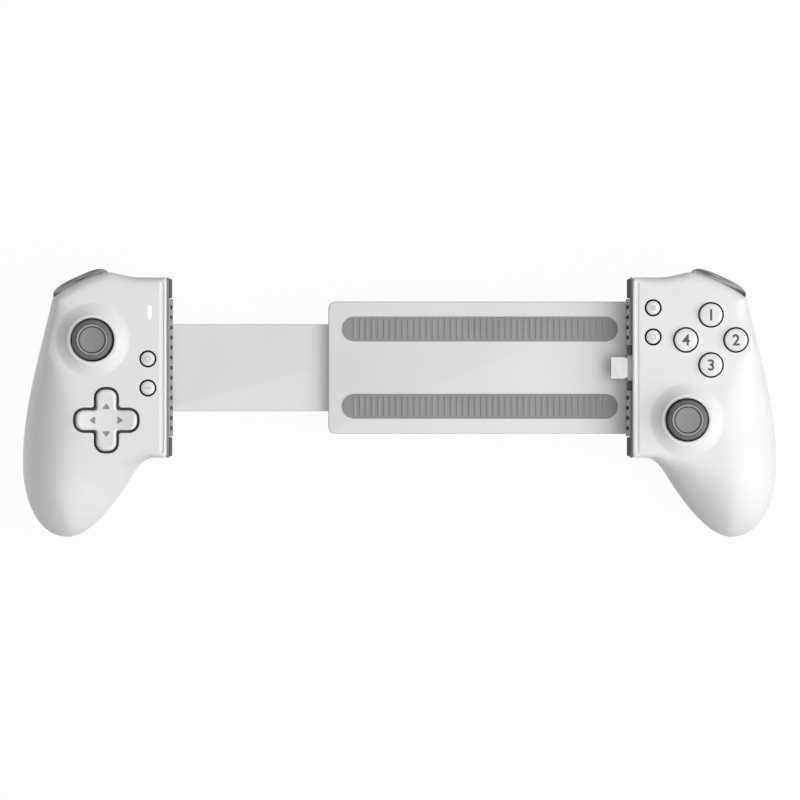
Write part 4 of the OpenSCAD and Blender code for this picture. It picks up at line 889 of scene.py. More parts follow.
def make_shell(part, side, holes, node):
    shape, marks, thin = shell_mesh(part, holes)
    obj = form(node, on_side(side, shape))
    obj.data.materials.append(MATERIALS["white_shell"])
    if part == FRONT:
        # Painted gap shadows for the hole walls, and the collar
        for material in (GAP_SHADE, GAP_SOFT_SHADE, COLLAR):
            obj.data.materials.append(material)
        obj.data.polygons.foreach_set("material_index", marks)
    wall = obj.modifiers.new("wall", "SOLIDIFY")
    wall.thickness, wall.offset = SHELL_T * MM, -1
    if thin:
        group = obj.vertex_groups.new(name="thin")
        group.add(thin, 1, "REPLACE")
        wall.vertex_group, wall.invert_vertex_group = group.name, True
        wall.thickness_vertex_group = THIN_SHARE
    bake(obj)
    cuts = [block(about(0, POCKET_HALF), (POCKET_BACK, FAR), POCKET_Z, at_shoulder)]
    if part == REAR:
        cuts.append(block(about(0, TRIGGER_HALF), (TRIGGER_BACK, FAR), TRIGGER_Z, at_shoulder))
    cuts.append(block(WALL_CUT, SLOT_Y, SLOT_Z, grip_frame))
    if part == FRONT and side == RIGHT:
        cuts.append(block(WALL_CUT, WINDOW_Y, WINDOW_Z, grip_frame))
    for cutter in cuts:
        cut(obj, on_side(side, cutter), part == REAR)
    stand_for(node, obj, sharp=SHELL_SHARP)
    return obj


DPAD_AT, LIGHT_AT = plan_of("dpad"), plan_of("status_light")
DPAD_REACH, DPAD_HALF, DPAD_END_R, DPAD_INNER_R, DPAD_GAP = 11.05, 3.6, 2.9, 1.0, 0.95
STICK_HOLE_R, FACE_HOLE_R, SMALL_HOLE_R = 7.8, 4.64, 3.1
LIGHT_L, LIGHT_W, LIGHT_GAP, LIGHT_SINK, LIGHT_EDGE = 5.4, 1.5, 0.05, 0.05, 0.25
FACE_BUTTONS = ["face_button_top", "face_button_right", "face_button_bottom", "face_button_left"]
SMALL_BUTTONS = {side: [f"{word}_small_button_{level}" for level in ("upper", "lower")]
                 for side, word in SIDES.items()}


def grown_cross(grown, inner_r):
    """The D-pad's cross, grown on all sides."""
    return cross_plan(DPAD_REACH + grown, DPAD_HALF + grown, DPAD_END_R + grown, inner_r - grown)


def dpad_hole(offset):
    return DPAD_AT + grown_cross(DPAD_GAP + offset, 1.9)


def light_hole(offset):
    grown = 2 * (LIGHT_GAP + offset)
    return LIGHT_AT + stadium(LIGHT_L + grown, LIGHT_W + grown)


def front_holes(side):
    stick = plan_of(f"{SIDES[side]}_stick_cap")
    holes = [circle_hole(stick, STICK_HOLE_R, fillet=0.25, depth=3.2, sides=84, around=MOUND)]
    for node in SMALL_BUTTONS[side]:
        holes.append(circle_hole(plan_of(node), SMALL_HOLE_R, fillet=0.2, depth=2.2, sides=40))
    if side == LEFT:
        return holes + [Hole(dpad_hole, fillet=0.3, depth=1.4, wall=SOFT_SHADE_INDEX),
                        Hole(light_hole, fillet=0.12, depth=1.6)]
    for node in FACE_BUTTONS:
        around = FLAT if node == "face_button_right" else ""
        holes.append(circle_hole(plan_of(node), FACE_HOLE_R, fillet=0.2, depth=2.4, around=around))
    return holes


SCREW_REACH, SCREW_HOLE_R, SCREW_HEAD = 5, 2.1, 1.0


def screw_holes():
    """Recesses in a rear shell over the heads of the CAD screws."""
    points = np.array([v.co for v in frame["nodes"]["right_screws"].data.vertices]) / MM - (WALL_X, 0, 0)
    holes = []
    while len(points):
        near = np.linalg.norm(points[:, :2] - points[0, :2], axis=1) < SCREW_REACH
        low, high = points[near].min(0), points[near].max(0)
        centre = (low + high)[:2] / 2
        floor = low[2] + SCREW_HEAD
        holes.append(circle_hole(centre, SCREW_HOLE_R, fillet=0.25, depth=6.0, sides=36, floor=floor))
        points = points[~near]
    return holes


for side, word in SIDES.items():
    make_shell(FRONT, side, front_holes(side), f"{word}_front_shell")
rear = make_shell(REAR, RIGHT, screw_holes(), "right_rear_shell").data
rear_shape = np.array([v.co for v in rear.vertices]) / MM, [list(p.vertices) for p in rear.polygons]
piece("left_rear_shell", on_side(LEFT, rear_shape), sharp=SHELL_SHARP)


# Thumbstick caps: a dome under the shell, a neck and a knurled cap; profiles are (radius, height)
PIVOT_Z, DOME_RADII, DOME_DEG, NECK_R, NECK_LOW = 26.0, (9.72, 10.72), 50, 2.5, 31.0
CAP_BASE = [(NECK_R, 40.4), (2.9, 41.0), (3.7, 41.35)]
CAP_SIDE = [(5.3, 41.48), (6.7, 41.55), (7.1, 41.68), (7.3, 42.0), (7.35, 42.4), (7.35, 43.6), (7.3, 44.05)]
CAP_TOP = [(7.12, 44.5), (6.8, 44.85), (6.35, 45.12), (5.95, 45.3), (5.75, 45.5), (5.55, 45.65), (5.35, 45.7),
           (5.15, 45.65), (4.98, 45.5), (4.85, 45.25), (4.78, 45.02), (4.7, 44.94), (4.6, 44.95), (4.5, 45.04),
           (4.35, 45.08), (3.6, 44.96), (2.4, 44.84), (1.2, 44.79), (0, 44.78)]
CAP_SIDES, RIDGES, RIDGE_DEPTH = 240, 48, 0.16


def make_cap(side, node):
    base = [(0, NECK_LOW), (NECK_R, NECK_LOW)]
    for radius, order in zip(DOME_RADII, (1, -1)):
        start = math.degrees(math.asin(NECK_R / radius))
        base += arc((0, PIVOT_Z), radius, 90 - start, 90 - DOME_DEG, 8)[::order].tolist()
    base += CAP_BASE
    groove = RIDGE_DEPTH * (0.5 + 0.5 * np.cos(RIDGES * np.arange(CAP_SIDES) * 2 * math.pi / CAP_SIDES))
    grooved = range(len(base) + 3, len(base) + 6)
    shape = lathe(base + CAP_SIDE + CAP_TOP, middle(node), CAP_SIDES, groove, grooved)
    piece(node, shape, STICK_RUBBER[side], sharp=50)


for side, word in SIDES.items():
    make_cap(side, f"{word}_stick_cap")


# Round buttons
FACE_R, SMALL_R, STEM_SHARE, CROWN_RISE = 4.08, 2.48, 0.6, 0.9
FLANGE_OUT, FLANGE_Z = 0.6, (25.4, 26.4)
FIGURE_H, PRINT_LIFT = 4.1, 0.05


def crown(radius, top):
    """Profile of a button's rounded top edge and its slight dome, from the side to the middle."""
    edge = [(0, 1), (0.03, 0.72), (0.14, 0.46), (0.36, 0.27), (0.75, 0.16)]
    dome = [(0.6, 0.07), (0.3, 0.02), (0, 0)]
    return ([(radius - inset, top - drop * CROWN_RISE) for inset, drop in edge]
            + [(radius * share, top - drop * CROWN_RISE) for share, drop in dome])


def round_button(node, radius, hole_r):
    low, high = bottom_top(node)
    stem, flange = STEM_SHARE * radius, hole_r + FLANGE_OUT
    bottom, top = FLANGE_Z
    profile = [(0, low), (stem - 0.2, low), (stem, low + 0.2), (stem, bottom), (flange - 0.1, bottom),
               (flange, bottom + 0.1), (flange, top - 0.1), (flange - 0.1, top), (radius, top)]
    piece(node, lathe(profile + crown(radius, high), middle(node)), sharp=50)


def decal(name, node, radius, plan, faces, material):
    """Thin printed mark on a button, from its plan about the button's middle."""
    r, z = np.array(crown(radius, bottom_top(node)[1])[::-1]).T
    verts = with_z(plan + middle(node)[:2], np.interp(np.linalg.norm(plan, axis=1), r, z) + PRINT_LIFT)
    trim(name, (verts, faces), BODY_OF[node], "dark_plastic", material)


def figure(text):
    """Plan and faces of a plain figure, FIGURE_H high."""
    curve = bpy.data.curves.new("figure", "FONT")
    curve.body, curve.size, curve.offset, curve.resolution_u = text, 10, 0.2, 6
    temporary = add_object("figure", curve)
    graph = bpy.context.evaluated_depsgraph_get()
    mesh = bpy.data.meshes.new_from_object(temporary.evaluated_get(graph))
    work = bmesh.new()
    work.from_mesh(mesh)
    bmesh.ops.triangulate(work, faces=work.faces[:])
    for longest in (2.0, 1.0):
        edges = [e for e in work.edges if e.calc_length() > longest]
        bmesh.ops.subdivide_edges(work, edges=edges, cuts=1)
        bmesh.ops.triangulate(work, faces=work.faces[:])
    plan = np.array([v.co[:2] for v in work.verts])
    faces = [[v.index for v in f.verts] for f in work.faces]
    work.free()
    bpy.data.objects.remove(temporary)
    bpy.data.curves.remove(curve)
    bpy.data.meshes.remove(mesh)
    low, high = plan.min(0), plan.max(0)
    return (plan - (low + high) / 2) * FIGURE_H / (high[1] - low[1]), faces


for number, node in enumerate(FACE_BUTTONS, 1):
    round_button(node, FACE_R, FACE_HOLE_R)
    decal(f"{node}_figure", node, FACE_R, *figure(str(number)), LEGEND)

MARK_R, LINE_W = 1.05, 0.24


def bars(half_x, half_y, places):
    plan = rounded_rect(half_x, half_y, min(half_x, half_y) * 0.9, 4)
    return joined([(plan + at, [range(len(plan))]) for at in places])


def loop_mark(outline):
    """Line along a closed outline(inset)."""
    outer, inner = outline(0), outline(LINE_W)
    m = len(outer)
    return np.vstack([outer, inner]), quads(range(m), range(m, 2 * m))


MARKS = {
    "left_small_button_upper": loop_mark(lambda inset: arc((0, 0), MARK_R - inset, 0, 350, 35)),
    "left_small_button_lower": bars(0.24, 0.24, [(-0.8, 0), (0, 0), (0.8, 0)]),
    "right_small_button_upper": bars(1.0, 0.14, [(0, 0.62), (0, 0), (0, -0.62)]),
    "right_small_button_lower": loop_mark(
        lambda inset: rounded_rect(MARK_R - inset, 0.85 - inset, 0.45 - inset / 2, 5)),
}
for node, (plan, faces) in MARKS.items():
    round_button(node, SMALL_R, SMALL_HOLE_R)
    decal(f"{node}_mark", node, SMALL_R, plan, faces, FAINT)

# D-pad: a rounded cross with a shallow dish, a flange under the shell and a foot over each key
DPAD_TOP, DPAD_DISH, DISH_POWER, DPAD_EDGE, DPAD_STEP = 37.8, 1.5, 2.6, 1.1, 0.7
DPAD_FLANGE_OUT, DPAD_FLANGE_Z = 2.05, (31.0, 32.4)
DPAD_KEY_OUT, FOOT_R, FOOT_TOP = 8.3, 1.5, 31.4
DPAD_HUB = [(0, 32.1), (2.05, 30.2), (3.4, 30.0), (3.5, 30.1), (3.5, 31.4), (0, 31.5)]
DPAD_ARROW, ARROW_R, ARROW_LIFT = [(6.2, 0), (4.0, 1.5), (4.0, -1.5)], 0.25, 0.03


def dpad_z(plan):
    r = np.linalg.norm(plan, axis=1)
    return DPAD_TOP - DPAD_DISH * (1 - np.clip(r / DPAD_REACH, 0, 1) ** DISH_POWER)


def make_dpad():
    def plan(inset):
        return grown_cross(-inset, DPAD_INNER_R)

    def flange(inset):
        return grown_cross(DPAD_FLANGE_OUT - inset, 2.4)
    low, centre = bottom_top("dpad")[0], middle("dpad")
    bottom, top = DPAD_FLANGE_Z
    lip = ((0.2, bottom), (0, bottom + 0.2), (0, top - 0.2), (0.2, top))
    rings = [with_z(flange(inset), z) for inset, z in lip] + [with_z(plan(0), top)]
    edge_z = dpad_z(plan(DPAD_EDGE))
    rings += [with_z(plan(inset), edge_z - drop) for drop, inset in quarter(DPAD_EDGE, 6)]
    verts, faces = tube(rings)
    border = rings[-1][:, :2]
    m = len(border)
    line = np.arange(-12, 12, DPAD_STEP)
    grid = plan_grid(line, line)
    grid = grid[inside(grid, plan(DPAD_EDGE + BORDER_CLEAR))]
    flat = np.vstack([border, grid])
    triangles = triangulate(flat, [m])
    triangles = triangles[inside(flat[triangles].mean(1), border)]
    # The dish takes the place of the tube's top face
    faces = faces[:-1] + (triangles + len(verts) - m).tolist()
    shapes = [(np.vstack([verts, with_z(grid, dpad_z(grid))]), faces), lathe(DPAD_HUB, (0, 0), 36)]
    foot = [(0, low), (FOOT_R - 0.2, low), (FOOT_R, low + 0.2), (FOOT_R, bottom + 0.3), (0, FOOT_TOP)]
    shapes += [lathe(foot, DPAD_KEY_OUT * way, 24) for way in circle(4)]
    verts, faces = joined(shapes)
    piece("dpad", (verts + (*centre[:2], 0), faces), DPAD_WHITE, sharp=50)
    arrow = rounded_polygon(DPAD_ARROW, [ARROW_R] * 3, 4)
    arrow = np.vstack([arrow, arrow.mean(0)])
    n = len(arrow) - 1
    faces = [[i, (i + 1) % n, n] for i in range(n)]
    for k, word in enumerate(("right", "up", "left", "down")):
        spot = turned(arrow, k)
        verts = with_z(spot + centre[:2], dpad_z(spot) + ARROW_LIFT)
        trim(f"dpad_arrow_{word}", (verts, faces), BODY_OF["dpad"], "dark_plastic", ARROW)


make_dpad()


# Status light
def light_plan(inset):
    return middle("status_light")[:2] + stadium(LIGHT_L - 2 * inset, LIGHT_W - 2 * inset)


light_low, light_high = bottom_top("status_light")
piece("status_light", soft_slab(light_plan, light_low, light_high - LIGHT_SINK, LIGHT_EDGE))

# Bumpers
BUMPER_HALF, BUMPER_REACH, BUMPER_BACK, BUMPER_Z = SHOULDER_HALF - 0.4, 3.4, -2.9, (20.5, 30.7)
BUMPER_ROUND, BUMPER_BACK_R = 2.6, 0.5


def bumper_section(reach, inset):
    """Section of a bumper (outwards, height), counter-clockwise, with a full round at the front."""
    low, high = BUMPER_Z[0] + inset, BUMPER_Z[1] - inset
    back, front = BUMPER_BACK + inset, reach - inset
    round_r = min(BUMPER_ROUND, (front - back) * 0.46, (high - low) * 0.4)
    corners = [(back, low), (front, low), (front, high), (back, high)]
    return rounded_polygon(corners, [BUMPER_BACK_R, round_r, round_r, BUMPER_BACK_R])


def bumper():
    crest = [(-share * BUMPER_HALF, BUMPER_REACH) for share in (0.945, 0.45, 0)]
    half = bezier((-BUMPER_HALF, 0.2), *crest, 18)
    x, reach = half[0]
    stations = [(x, reach, 0.5), (x + 0.1, reach + 0.35, 0.2)] + [(x, reach, 0.0) for x, reach in half[2:]]
    stations += [(-x, reach, inset) for x, reach, inset in stations[-2::-1]]
    return tube([at_shoulder(with_x(x, bumper_section(reach, inset))) for x, reach, inset in stations])


# Triggers
TRIGGER_W, TRIGGER_EDGE, TRIGGER_TIP, TRIGGER_TOP, HUB_R = 8.2, 0.9, 3.3, 19.8, 2.6
PIN_Y, PIN_Z = -4.0, 16.8
WELL_OUT, WELL_T, WELL_Z, ROOF_Z, WELL_EDGE = 0.6, 0.6, (8, 17.7), (17.2, 17.9), 0.25
SPRING_NOTCH = ((-3.2, 3.2), (-7.2, -0.8), (13.6, 20.0))
SPRING_R, WIRE_R, SPRING_X, SPRING_TURNS = 1.5, 0.3, (-2.7, 2.7), 4


def trigger_section():
    """Outline of a trigger's blade (outwards, height), counter-clockwise."""
    face = bezier((-0.6, TRIGGER_TOP), (3.2, 15.5), (3.4, 5.94), (-1.1, TRIGGER_TIP), 30)[::-1]
    back = [(PIN_Y, PIN_Z + HUB_R - 0.2), (PIN_Y, PIN_Z - HUB_R), (-3.3, 12.0), (-3.1, 8.0), (-3.3, 3.6)]
    return smooth_loop(resample(np.vstack([face, back]), 0.35), 1.3)


def inset_loop(loop, inset):
    tangent = np.roll(loop, -1, 0) - np.roll(loop, 1, 0)
    tangent = smooth_loop(tangent / np.linalg.norm(tangent, axis=1)[:, None], 1.5)
    return loop + inset * np.stack([-tangent[:, 1], tangent[:, 0]], 1)


def trigger():
    section = trigger_section()
    ends = [(drop - TRIGGER_W, inset) for inset, drop in quarter(TRIGGER_EDGE, 5)]
    ends += [(-x, inset) for x, inset in ends[::-1]]
    return tube([at_shoulder(with_x(x, inset_loop(section, inset))) for x, inset in ends])


def trigger_well():
    """Back wall and roof of the recess that a trigger swings in."""
    half, back, end = TRIGGER_HALF + WELL_OUT, TRIGGER_BACK, PIN_Y - HUB_R - 0.5
    wall = soft_box((-half, back - WELL_T, WELL_Z[0]), (half, back, WELL_Z[1]), WELL_EDGE)
    roof = soft_box((-half, back - WELL_T / 2, ROOF_Z[0]), (half, end, ROOF_Z[1]), WELL_EDGE)
    verts, faces = joined([wall, roof])
    return at_shoulder(verts), faces


def coil(y, z, radius, x0, x1, turns):
    """Round wire wound about an axis along X."""
    sides, steps = 10, 28
    count = turns * steps + 1
    cos, sin = circle(sides).T[:, :, None]
    rings = []
    for x, a in zip(np.linspace(x0, x1, count), np.arange(count) * 2 * math.pi / steps):
        out = np.array([0, math.cos(a), math.sin(a)])
        rings.append(np.array([x, y, z]) + radius * out + WIRE_R * (cos * out + sin * np.array([1, 0, 0])))
    return tube(rings)


def trigger_spring():
    verts, faces = coil(PIN_Y, PIN_Z, SPRING_R, *SPRING_X, SPRING_TURNS)
    return at_shoulder(verts), faces


for side, word in SIDES.items():
    piece(f"{word}_bumper", on_side(side, bumper()), SMOKE[side], sharp=50)
    blade = form(f"{word}_trigger", on_side(side, trigger()))
    cut(blade, on_side(side, block(*SPRING_NOTCH, at_shoulder)))
    stand_for(f"{word}_trigger", blade, sharp=40)
    trim(f"{word}_trigger_well", on_side(side, trigger_well()), f"{word}_half", "dark_plastic", sharp=50)
    piece(f"{word}_trigger_spring", on_side(side, trigger_spring()), sharp=60)

# Ribbed rubber pads on their carriers: a strip on the inner wall, a dark ledge under the teeth that paints the
# shade between them, a dark block at each end and, on the right, a dark plate on each side of the plug
TOOTH_PITCH, TOOTH_W, TOOTH_COUNT = 3.64, 2.39, 14
PAD_FOOT, PAD_TIP, STRIP_T = WALL_X - 0.8, WALL_X - 2.2, 0.8
PAD_T, PAD_LAP, PAD_EDGE, TOOTH_EDGE = 0.4, 0.2, 0.12, 0.38
SHADE_LEDGE_H, SHADE_LEDGE_X, BLOCK_X, DARK_X = 1.2, WALL_X - 2.1, WALL_X - 1.9, WALL_X - 0.4
FLANGE_HALF, FLANGE_TALL, FLANGE_GAP = 4.65, 4.4, 0.35


def clear_of_plug(side, runs):
    """Runs along Y, on the right without the plug's window."""
    if side == LEFT:
        return runs
    low, high = WINDOW_Y
    return [(a, min(b, low)) for a, b in runs if a < low] + [(max(a, high), b) for a, b in runs if b > high]


def pad(side, node):
    low, high = bottom_top(node)
    start = CRADLE_Y - (TOOTH_COUNT * TOOTH_PITCH - (TOOTH_PITCH - TOOTH_W)) / 2
    teeth = [(start + i * TOOTH_PITCH, start + i * TOOTH_PITCH + TOOTH_W) for i in range(TOOTH_COUNT)]
    shapes = [soft_box((PAD_FOOT - PAD_T, a, low), (PAD_FOOT, b, high), PAD_EDGE)
              for a, b in clear_of_plug(side, [(teeth[0][0], teeth[-1][1])])]
    shapes += [soft_box((PAD_TIP, a, low), (PAD_FOOT - PAD_LAP, b, high), TOOTH_EDGE)
               for a, b in clear_of_plug(side, teeth)]
    return joined(shapes)


def carrier(side, node, pad_node):
    """The carrier's strip, and its dark ledge, which paints the shade between the teeth, its blocks and
    plates.
    """
    (_, start, bottom), (_, end, top) = low_high(node)
    (_, pad_start, _), (_, pad_end, _) = low_high(pad_node)
    strip = [soft_box((WALL_X - STRIP_T, a, bottom), (WALL_X, b, top), 0.15)
             for a, b in clear_of_plug(side, [(start, end)])]
    # The dark ledge under the teeth paints the shade between them
    dark = [soft_box((SHADE_LEDGE_X, a, bottom), (DARK_X, b, bottom + SHADE_LEDGE_H), 0.2)
            for a, b in clear_of_plug(side, [(pad_start, pad_end)])]
    for a, b in ((start + 0.5, pad_start - 0.3), (pad_end + 0.3, end - 0.5)):
        dark.append(soft_box((BLOCK_X, a, bottom), (DARK_X, b, top - 0.5), 0.5))
    if side == RIGHT:
        low, high = about(PLUG_AT[1], FLANGE_HALF + FLANGE_GAP)
        for a, b in ((WINDOW_Y[0], low), (high, WINDOW_Y[1])):
            dark.append(soft_box((BLOCK_X, a, bottom), (WALL_X - 0.2, b, top - 1.0), 0.3))
    return joined(strip), joined(dark)


for side, word in SIDES.items():
    node, pad_node = f"{word}_pad_carrier", f"{word}_rubber_pad"
    piece(pad_node, on_side(side, pad(side, pad_node)), sharp=50)
    strip, dark = (on_side(side, shape) for shape in carrier(side, node, pad_node))
    piece(node, strip, CARRIER, sharp=50)
    # Dark ends, plates and the ledge that paints shade under the teeth
    trim(f"{node}_ends", dark, BODY_OF[node], "dark_plastic", sharp=50)


def plug_flange():
    """Pale collar at the root of the plug."""
    (y0, y1), (z0, z1) = about(PLUG_AT[1], FLANGE_HALF), about(PLUG_AT[2], FLANGE_TALL / 2)
    return soft_box((WALL_X - 1.7, y0, z0), (WALL_X + 0.4, y1, z1), 0.35, 0.6)


trim("plug_flange", plug_flange(), BODY_OF["plug_carrier"], "inner_plastic", sharp=50)

# Bridge
COVER_R, REAR_EDGE, FRONT_EDGE, COVER_T, COVER_END, COVER_SIDE = 2.6, 1.3, 0.55, 1.4, 3, 1.6
TONGUE_HALF, TONGUE_Z = 15.8, (15, 18)
CABLE_HALF, CABLE_Z = 5.5, (18, 19.1)
STRIP_W, STRIP_OUT, STRIP_FILM, RIB_PITCH, RIB_HALF = 9.0, 14, 0.36, 2.2, 0.55


def make_bridge():
    low, high = low_high("bridge_rear_cover")
    left, start, end = low[0], low[1], high[1]

    def outline(inset):
        plan = rounded_rect((WALL_X - left) / 2 - inset, (end - start) / 2 - inset, COVER_R - inset * 0.6)
        return plan + ((WALL_X + left) / 2, CRADLE_Y)
    obj = form("bridge_rear_cover", soft_slab(outline, low[2], high[2], REAR_EDGE, 5))
    cut(obj, block((left + COVER_END, WALL_X - COVER_END), (start + COVER_SIDE, end - COVER_SIDE),
                   (low[2] + COVER_T, FAR)))
    cut(obj, block((left - 1, left + 4), SLOT_Y, SLOT_Z))
    cut(obj, block((WALL_X - 4, WALL_X + 1), about(CRADLE_Y, CABLE_HALF), CABLE_Z))
    stand_for("bridge_rear_cover", obj, sharp=40)
    (y0, y1), (z0, z1) = about(CRADLE_Y, TONGUE_HALF), TONGUE_Z
    tongue = soft_box((WALL_X - 2, y0, z0), (high[0], y1, z1), 0.4, 1.5)
    trim("bridge_tongue", tongue, "right_half", "bridge_plastic")
    front_low, front_high = low_high("bridge_front_cover")
    piece("bridge_front_cover", soft_box((*front_low[:2], high[2]), front_high, FRONT_EDGE, COVER_R))


def strips():
    """Rubber strips under the phone: two bands with low cross ribs."""
    low, high = low_high("bridge_rubber_strips")
    mid, half = (low[0] + high[0]) / 2, (high[0] - low[0]) / 2
    reach = half - STRIP_W / 2
    shapes = []
    for y in about(CRADLE_Y, STRIP_OUT):
        def outline(inset):
            loop = stadium(2 * half - 2 * inset, STRIP_W - 2 * inset, 14)
            return np.stack([mid - loop[:, 1], y + loop[:, 0]], 1)
        shapes.append(soft_slab(outline, low[2], low[2] + STRIP_FILM, 0.15, 3))
        y0, y1 = about(y, STRIP_W / 2 - 0.8)
        for x in np.arange(-reach, reach + 0.01, RIB_PITCH):
            x0, x1 = about(mid + x, RIB_HALF)
            shapes.append(soft_box((x0, y0, low[2] + 0.2), (x1, y1, high[2]), 0.22, 0.5))
    return joined(shapes)


make_bridge()
piece("bridge_rubber_strips", strips(), sharp=50)
piece("slide_cover", soft_box(*low_high("slide_cover"), 0.35, 1.2))

# Springs and ribbon, which in the real thing stretch with the slide; COIL_Z and BLEND_Z give heights of end
# points that nothing uses
COIL_R, COIL_TURNS, COIL_Z = 2.15, 18, 16.5
RIBBON_T, RIBBON_Z, CHANNEL_Z, BLEND_Z = 0.25, 18.35, 17.65, 18
LOOP_R, FOLD_R, FOLD_BACK = 0.75, 0.3375, 15


def in_metres(*point):
    return tuple(c * MM for c in point)


def make_springs():
    low, high = low_high("bridge_springs")
    ends = (low[0] + WIRE_R, high[0] - WIRE_R)
    rows = about(CRADLE_Y, (high[1] - low[1]) / 2 - COIL_R - WIRE_R)
    z = middle("bridge_springs")[2]
    obj = form("bridge_springs", joined([coil(y, z, COIL_R, *ends, COIL_TURNS) for y in rows]))
    stand_for("bridge_springs", obj, sharp=60, rides=False)
    in_metres(low[0], CRADLE_Y, COIL_Z)
    in_metres(high[0], CRADLE_Y, COIL_Z)
    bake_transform(obj)


def make_ribbon():
    """Flat ribbon from the left board, along the slide plate, folded twice, to the right board."""
    low, high = low_high("ribbon_cable")
    carriage = low_high("slide_plate")[1][0]
    return_z = CHANNEL_Z + 2 * LOOP_R
    loop_x = (carriage + WALL_X) / 2
    corners = np.vstack([
        [(low[0], RIBBON_Z), (-WALL_X - 7, RIBBON_Z), (-WALL_X - 5, 18.2), (-WALL_X - 3, CHANNEL_Z)],
        arc((loop_x, CHANNEL_Z + LOOP_R), LOOP_R, -90, 90, 14),
        arc((loop_x - FOLD_BACK, return_z + FOLD_R), FOLD_R, 270, 90, 12),
        [(WALL_X - 12, return_z + 2 * FOLD_R), (WALL_X - 9, 19.2)],
        [(WALL_X - 6, RIBBON_Z), (high[0], RIBBON_Z)],
    ])
    path = [corners[0]]
    for a, b in zip(corners, corners[1:]):
        steps = max(1, int(np.linalg.norm(b - a) / 2.0))
        path += [a + (b - a) * (k + 1) / steps for k in range(steps)]
    path = np.array(path)
    run = np.gradient(path, axis=0)
    run /= np.linalg.norm(run, axis=1)[:, None]
    lift = np.stack([-run[:, 1], run[:, 0]], 1) * RIBBON_T / 2
    rings = [[(a[0], low[1], a[1]), (a[0], high[1], a[1]), (b[0], high[1], b[1]), (b[0], low[1], b[1])]
             for a, b in zip(path + lift, path - lift)]
    obj = form("ribbon_cable", tube(rings))
    stand_for("ribbon_cable", obj, sharp=50, rides=False)
    in_metres(carriage, CRADLE_Y, BLEND_Z)
    in_metres(WALL_X - 6, CRADLE_Y, BLEND_Z)
    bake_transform(obj)


make_springs()
make_ribbon()

# Silicone keypads: thin sheets on the boards with a collapsible dome under each key
SHEET_H, SHEET_R = 0.8, 3.8
FACE_KEY_TOP, SMALL_KEY_TOP = 24.2, 23.5
FACE_KEEP, SMALL_KEEP, DPAD_KEEP = 0.55, 0.75, 0.65


class Key(NamedTuple):
    name: str
    at: object   # plan place in the grip's frame
    top: float   # height of the dome's top
    joint: str   # the press that would flatten the dome; not used
    keep: float  # share of its height that the pressed dome would keep; not used


def button_keys(nodes, top, keep):
    return [Key(node, plan_of(node), top, f"{node}_press", keep) for node in nodes]


def dpad_keys():
    joints = ("dpad_sideways", "dpad_updown") * 2
    return [Key(word, DPAD_AT + DPAD_KEY_OUT * way, FACE_KEY_TOP, joint, DPAD_KEEP)
            for word, way, joint in zip(("left", "up", "right", "down"), circle(4), joints)]


def make_keypad(side, node, keys):
    base = bottom_top(node)[0]
    top, foot = base + SHEET_H, base + 0.1
    sheet = [(0, base), (SHEET_R - 0.2, base), (SHEET_R, base + 0.2), (SHEET_R, top - 0.2),
             (SHEET_R - 0.2, top), (0, top)]
    sheets = []
    for key in keys:
        centre = (side * (WALL_X + key.at[0]), key.at[1])
        sheets.append(lathe(sheet, centre, 40))
        rise = key.top - foot
        dome = [(0, foot), (2.6, foot), (2.45, foot + 0.35 * rise), (2.1, foot + 0.7 * rise),
                (1.75, key.top - 0.1), (1.6, key.top), (1.2, key.top),
                (1.0, key.top - 0.12), (0, key.top - 0.12)]
        obj = trim(f"{node}_dome_{key.name}", lathe(dome, centre, 36), BODY_OF[node], "silicone", sharp=50)
        in_metres(*centre, base)
        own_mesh(obj)
    piece(node, joined(sheets), sharp=50)


SMALL_KEYS = {side: button_keys(nodes, SMALL_KEY_TOP, SMALL_KEEP) for side, nodes in SMALL_BUTTONS.items()}
make_keypad(RIGHT, "right_keypad", button_keys(FACE_BUTTONS, FACE_KEY_TOP, FACE_KEEP) + SMALL_KEYS[RIGHT])
make_keypad(LEFT, "left_keypad", dpad_keys() + SMALL_KEYS[LEFT])

# Light, floor and camera
PX_MM = 0.362
VIEW_W = 800 * PX_MM
LENS, SENSOR = 500.0, 36.0
FOCUS_Z, CAMERA_X, CAMERA_Y = 27.0, 0.18, 0.9
WORLD_LEVEL, WORLD_LEAN = 0.28, 0.17
FLOOR_TONES, FLOOR_REACH, FLOOR_WHITE = (0.47, 0.49), 6, 0.97
PAPER = (1, 1, 1, 1)


def area_light(name, place, target, size, power):
    data = bpy.data.lights.new(name, "AREA")
    data.shape = "RECTANGLE"
    data.size, data.size_y = size
    data.energy = power
    obj = add_object(name, data)
    obj.location = place
    obj.rotation_euler = (Vector(target) - obj.location).to_track_quat("-Z", "Y").to_euler()
    obj.visible_camera = False
    return obj


def white_where_seen(tree, lit, white_kind, share, out):
    """The camera and reflections see this share of white in place of the lit shader."""
    rays = add_node(tree, "LightPath").node.outputs
    seen = maths(tree, "MAXIMUM", rays["Is Camera Ray"], rays["Is Transmission Ray"])
    seen = maths(tree, "MAXIMUM", seen, rays["Is Glossy Ray"])
    white = add_node(tree, white_kind, Color=PAPER, Strength=1.0)
    feed(tree, out, Surface=add_node(tree, "MixShader", maths(tree, "MULTIPLY", seen, share), lit, white))


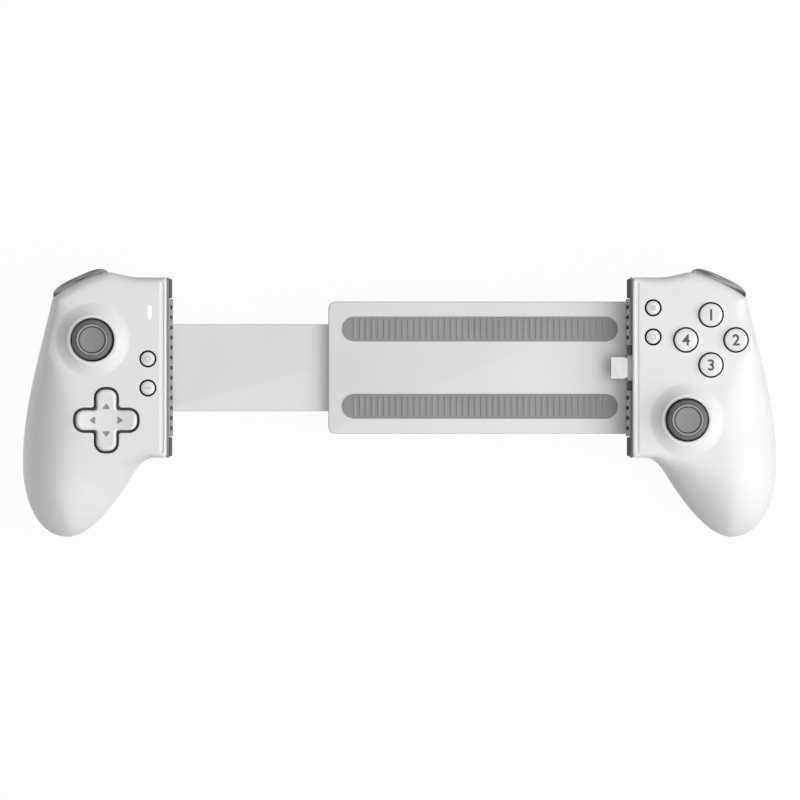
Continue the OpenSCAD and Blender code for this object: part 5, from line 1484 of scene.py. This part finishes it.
def make_floor():
    mesh = bpy.data.meshes.new("floor")
    corners = [(FLOOR_REACH * x, FLOOR_REACH * y, 0) for x, y in ((-1, -1), (1, -1), (1, 1), (-1, 1))]
    mesh.from_pydata(corners, [], [(0, 1, 2, 3)])
    floor = add_object("floor", mesh)
    mat, tree, place = shader("floor_pale")
    stops = [(at, (tone,) * 3) for at, tone in zip((0.3, 0.7), FLOOR_TONES)]
    bsdf = tree.nodes["Principled BSDF"]
    tones = ramp(tree, noise(tree, place, 3, 2), stops)
    feed(tree, bsdf, Base_Color=tones, Roughness=0.9, Specular_IOR_Level=0.1)
    white_where_seen(tree, bsdf.outputs[0], "Emission", FLOOR_WHITE, tree.nodes["Material Output"])
    mesh.materials.append(mat)


def make_world():
    """Even light, brighter from the right, as in the photograph."""
    world = bpy.data.worlds.new("studio")
    SCENE.world = world
    world.use_nodes = True
    tree = world.node_tree
    way = add_node(tree, "SeparateXYZ", add_node(tree, "TexCoord", out="Generated"))
    level = maths(tree, "MULTIPLY_ADD", way, WORLD_LEAN, WORLD_LEVEL)
    feed(tree, tree.nodes["Background"], Color=PAPER, Strength=level)
    white_where_seen(tree, tree.nodes["Background"].outputs[0], "Background", 1.0, tree.nodes["World Output"])


def make_camera():
    data = bpy.data.cameras.new("camera")
    data.lens, data.sensor_width, data.clip_end = LENS, SENSOR, 100
    camera = add_object("camera", data)
    camera.location = in_metres(CAMERA_X, CAMERA_Y, VIEW_W * LENS / SENSOR + FOCUS_Z)
    SCENE.camera = camera


make_floor()
make_world()
area_light("key_right", (1.1, -0.3, 1.15), (0, 0, 0.02), (1.4, 1.4), 18.2)
overhead = area_light("overhead", (0, 0, 2.0), (0, 0, 0), (1.2, 1.2), 8.6)
overhead.visible_glossy = False
area_light("edge_left", (-0.185, -0.005, 0.003), (-0.185, -0.005, 1), (0.06, 0.15), 0.025)
make_camera()
SCENE.view_settings.view_transform = "Standard"

for node, obj in frame["nodes"].items():
    obj.data.materials.clear()
    side = RIGHT if middle(node)[0] > 0 else LEFT
    obj.data.materials.append(MATERIALS.get(SLOT_OF[node], SMOKE[side]))
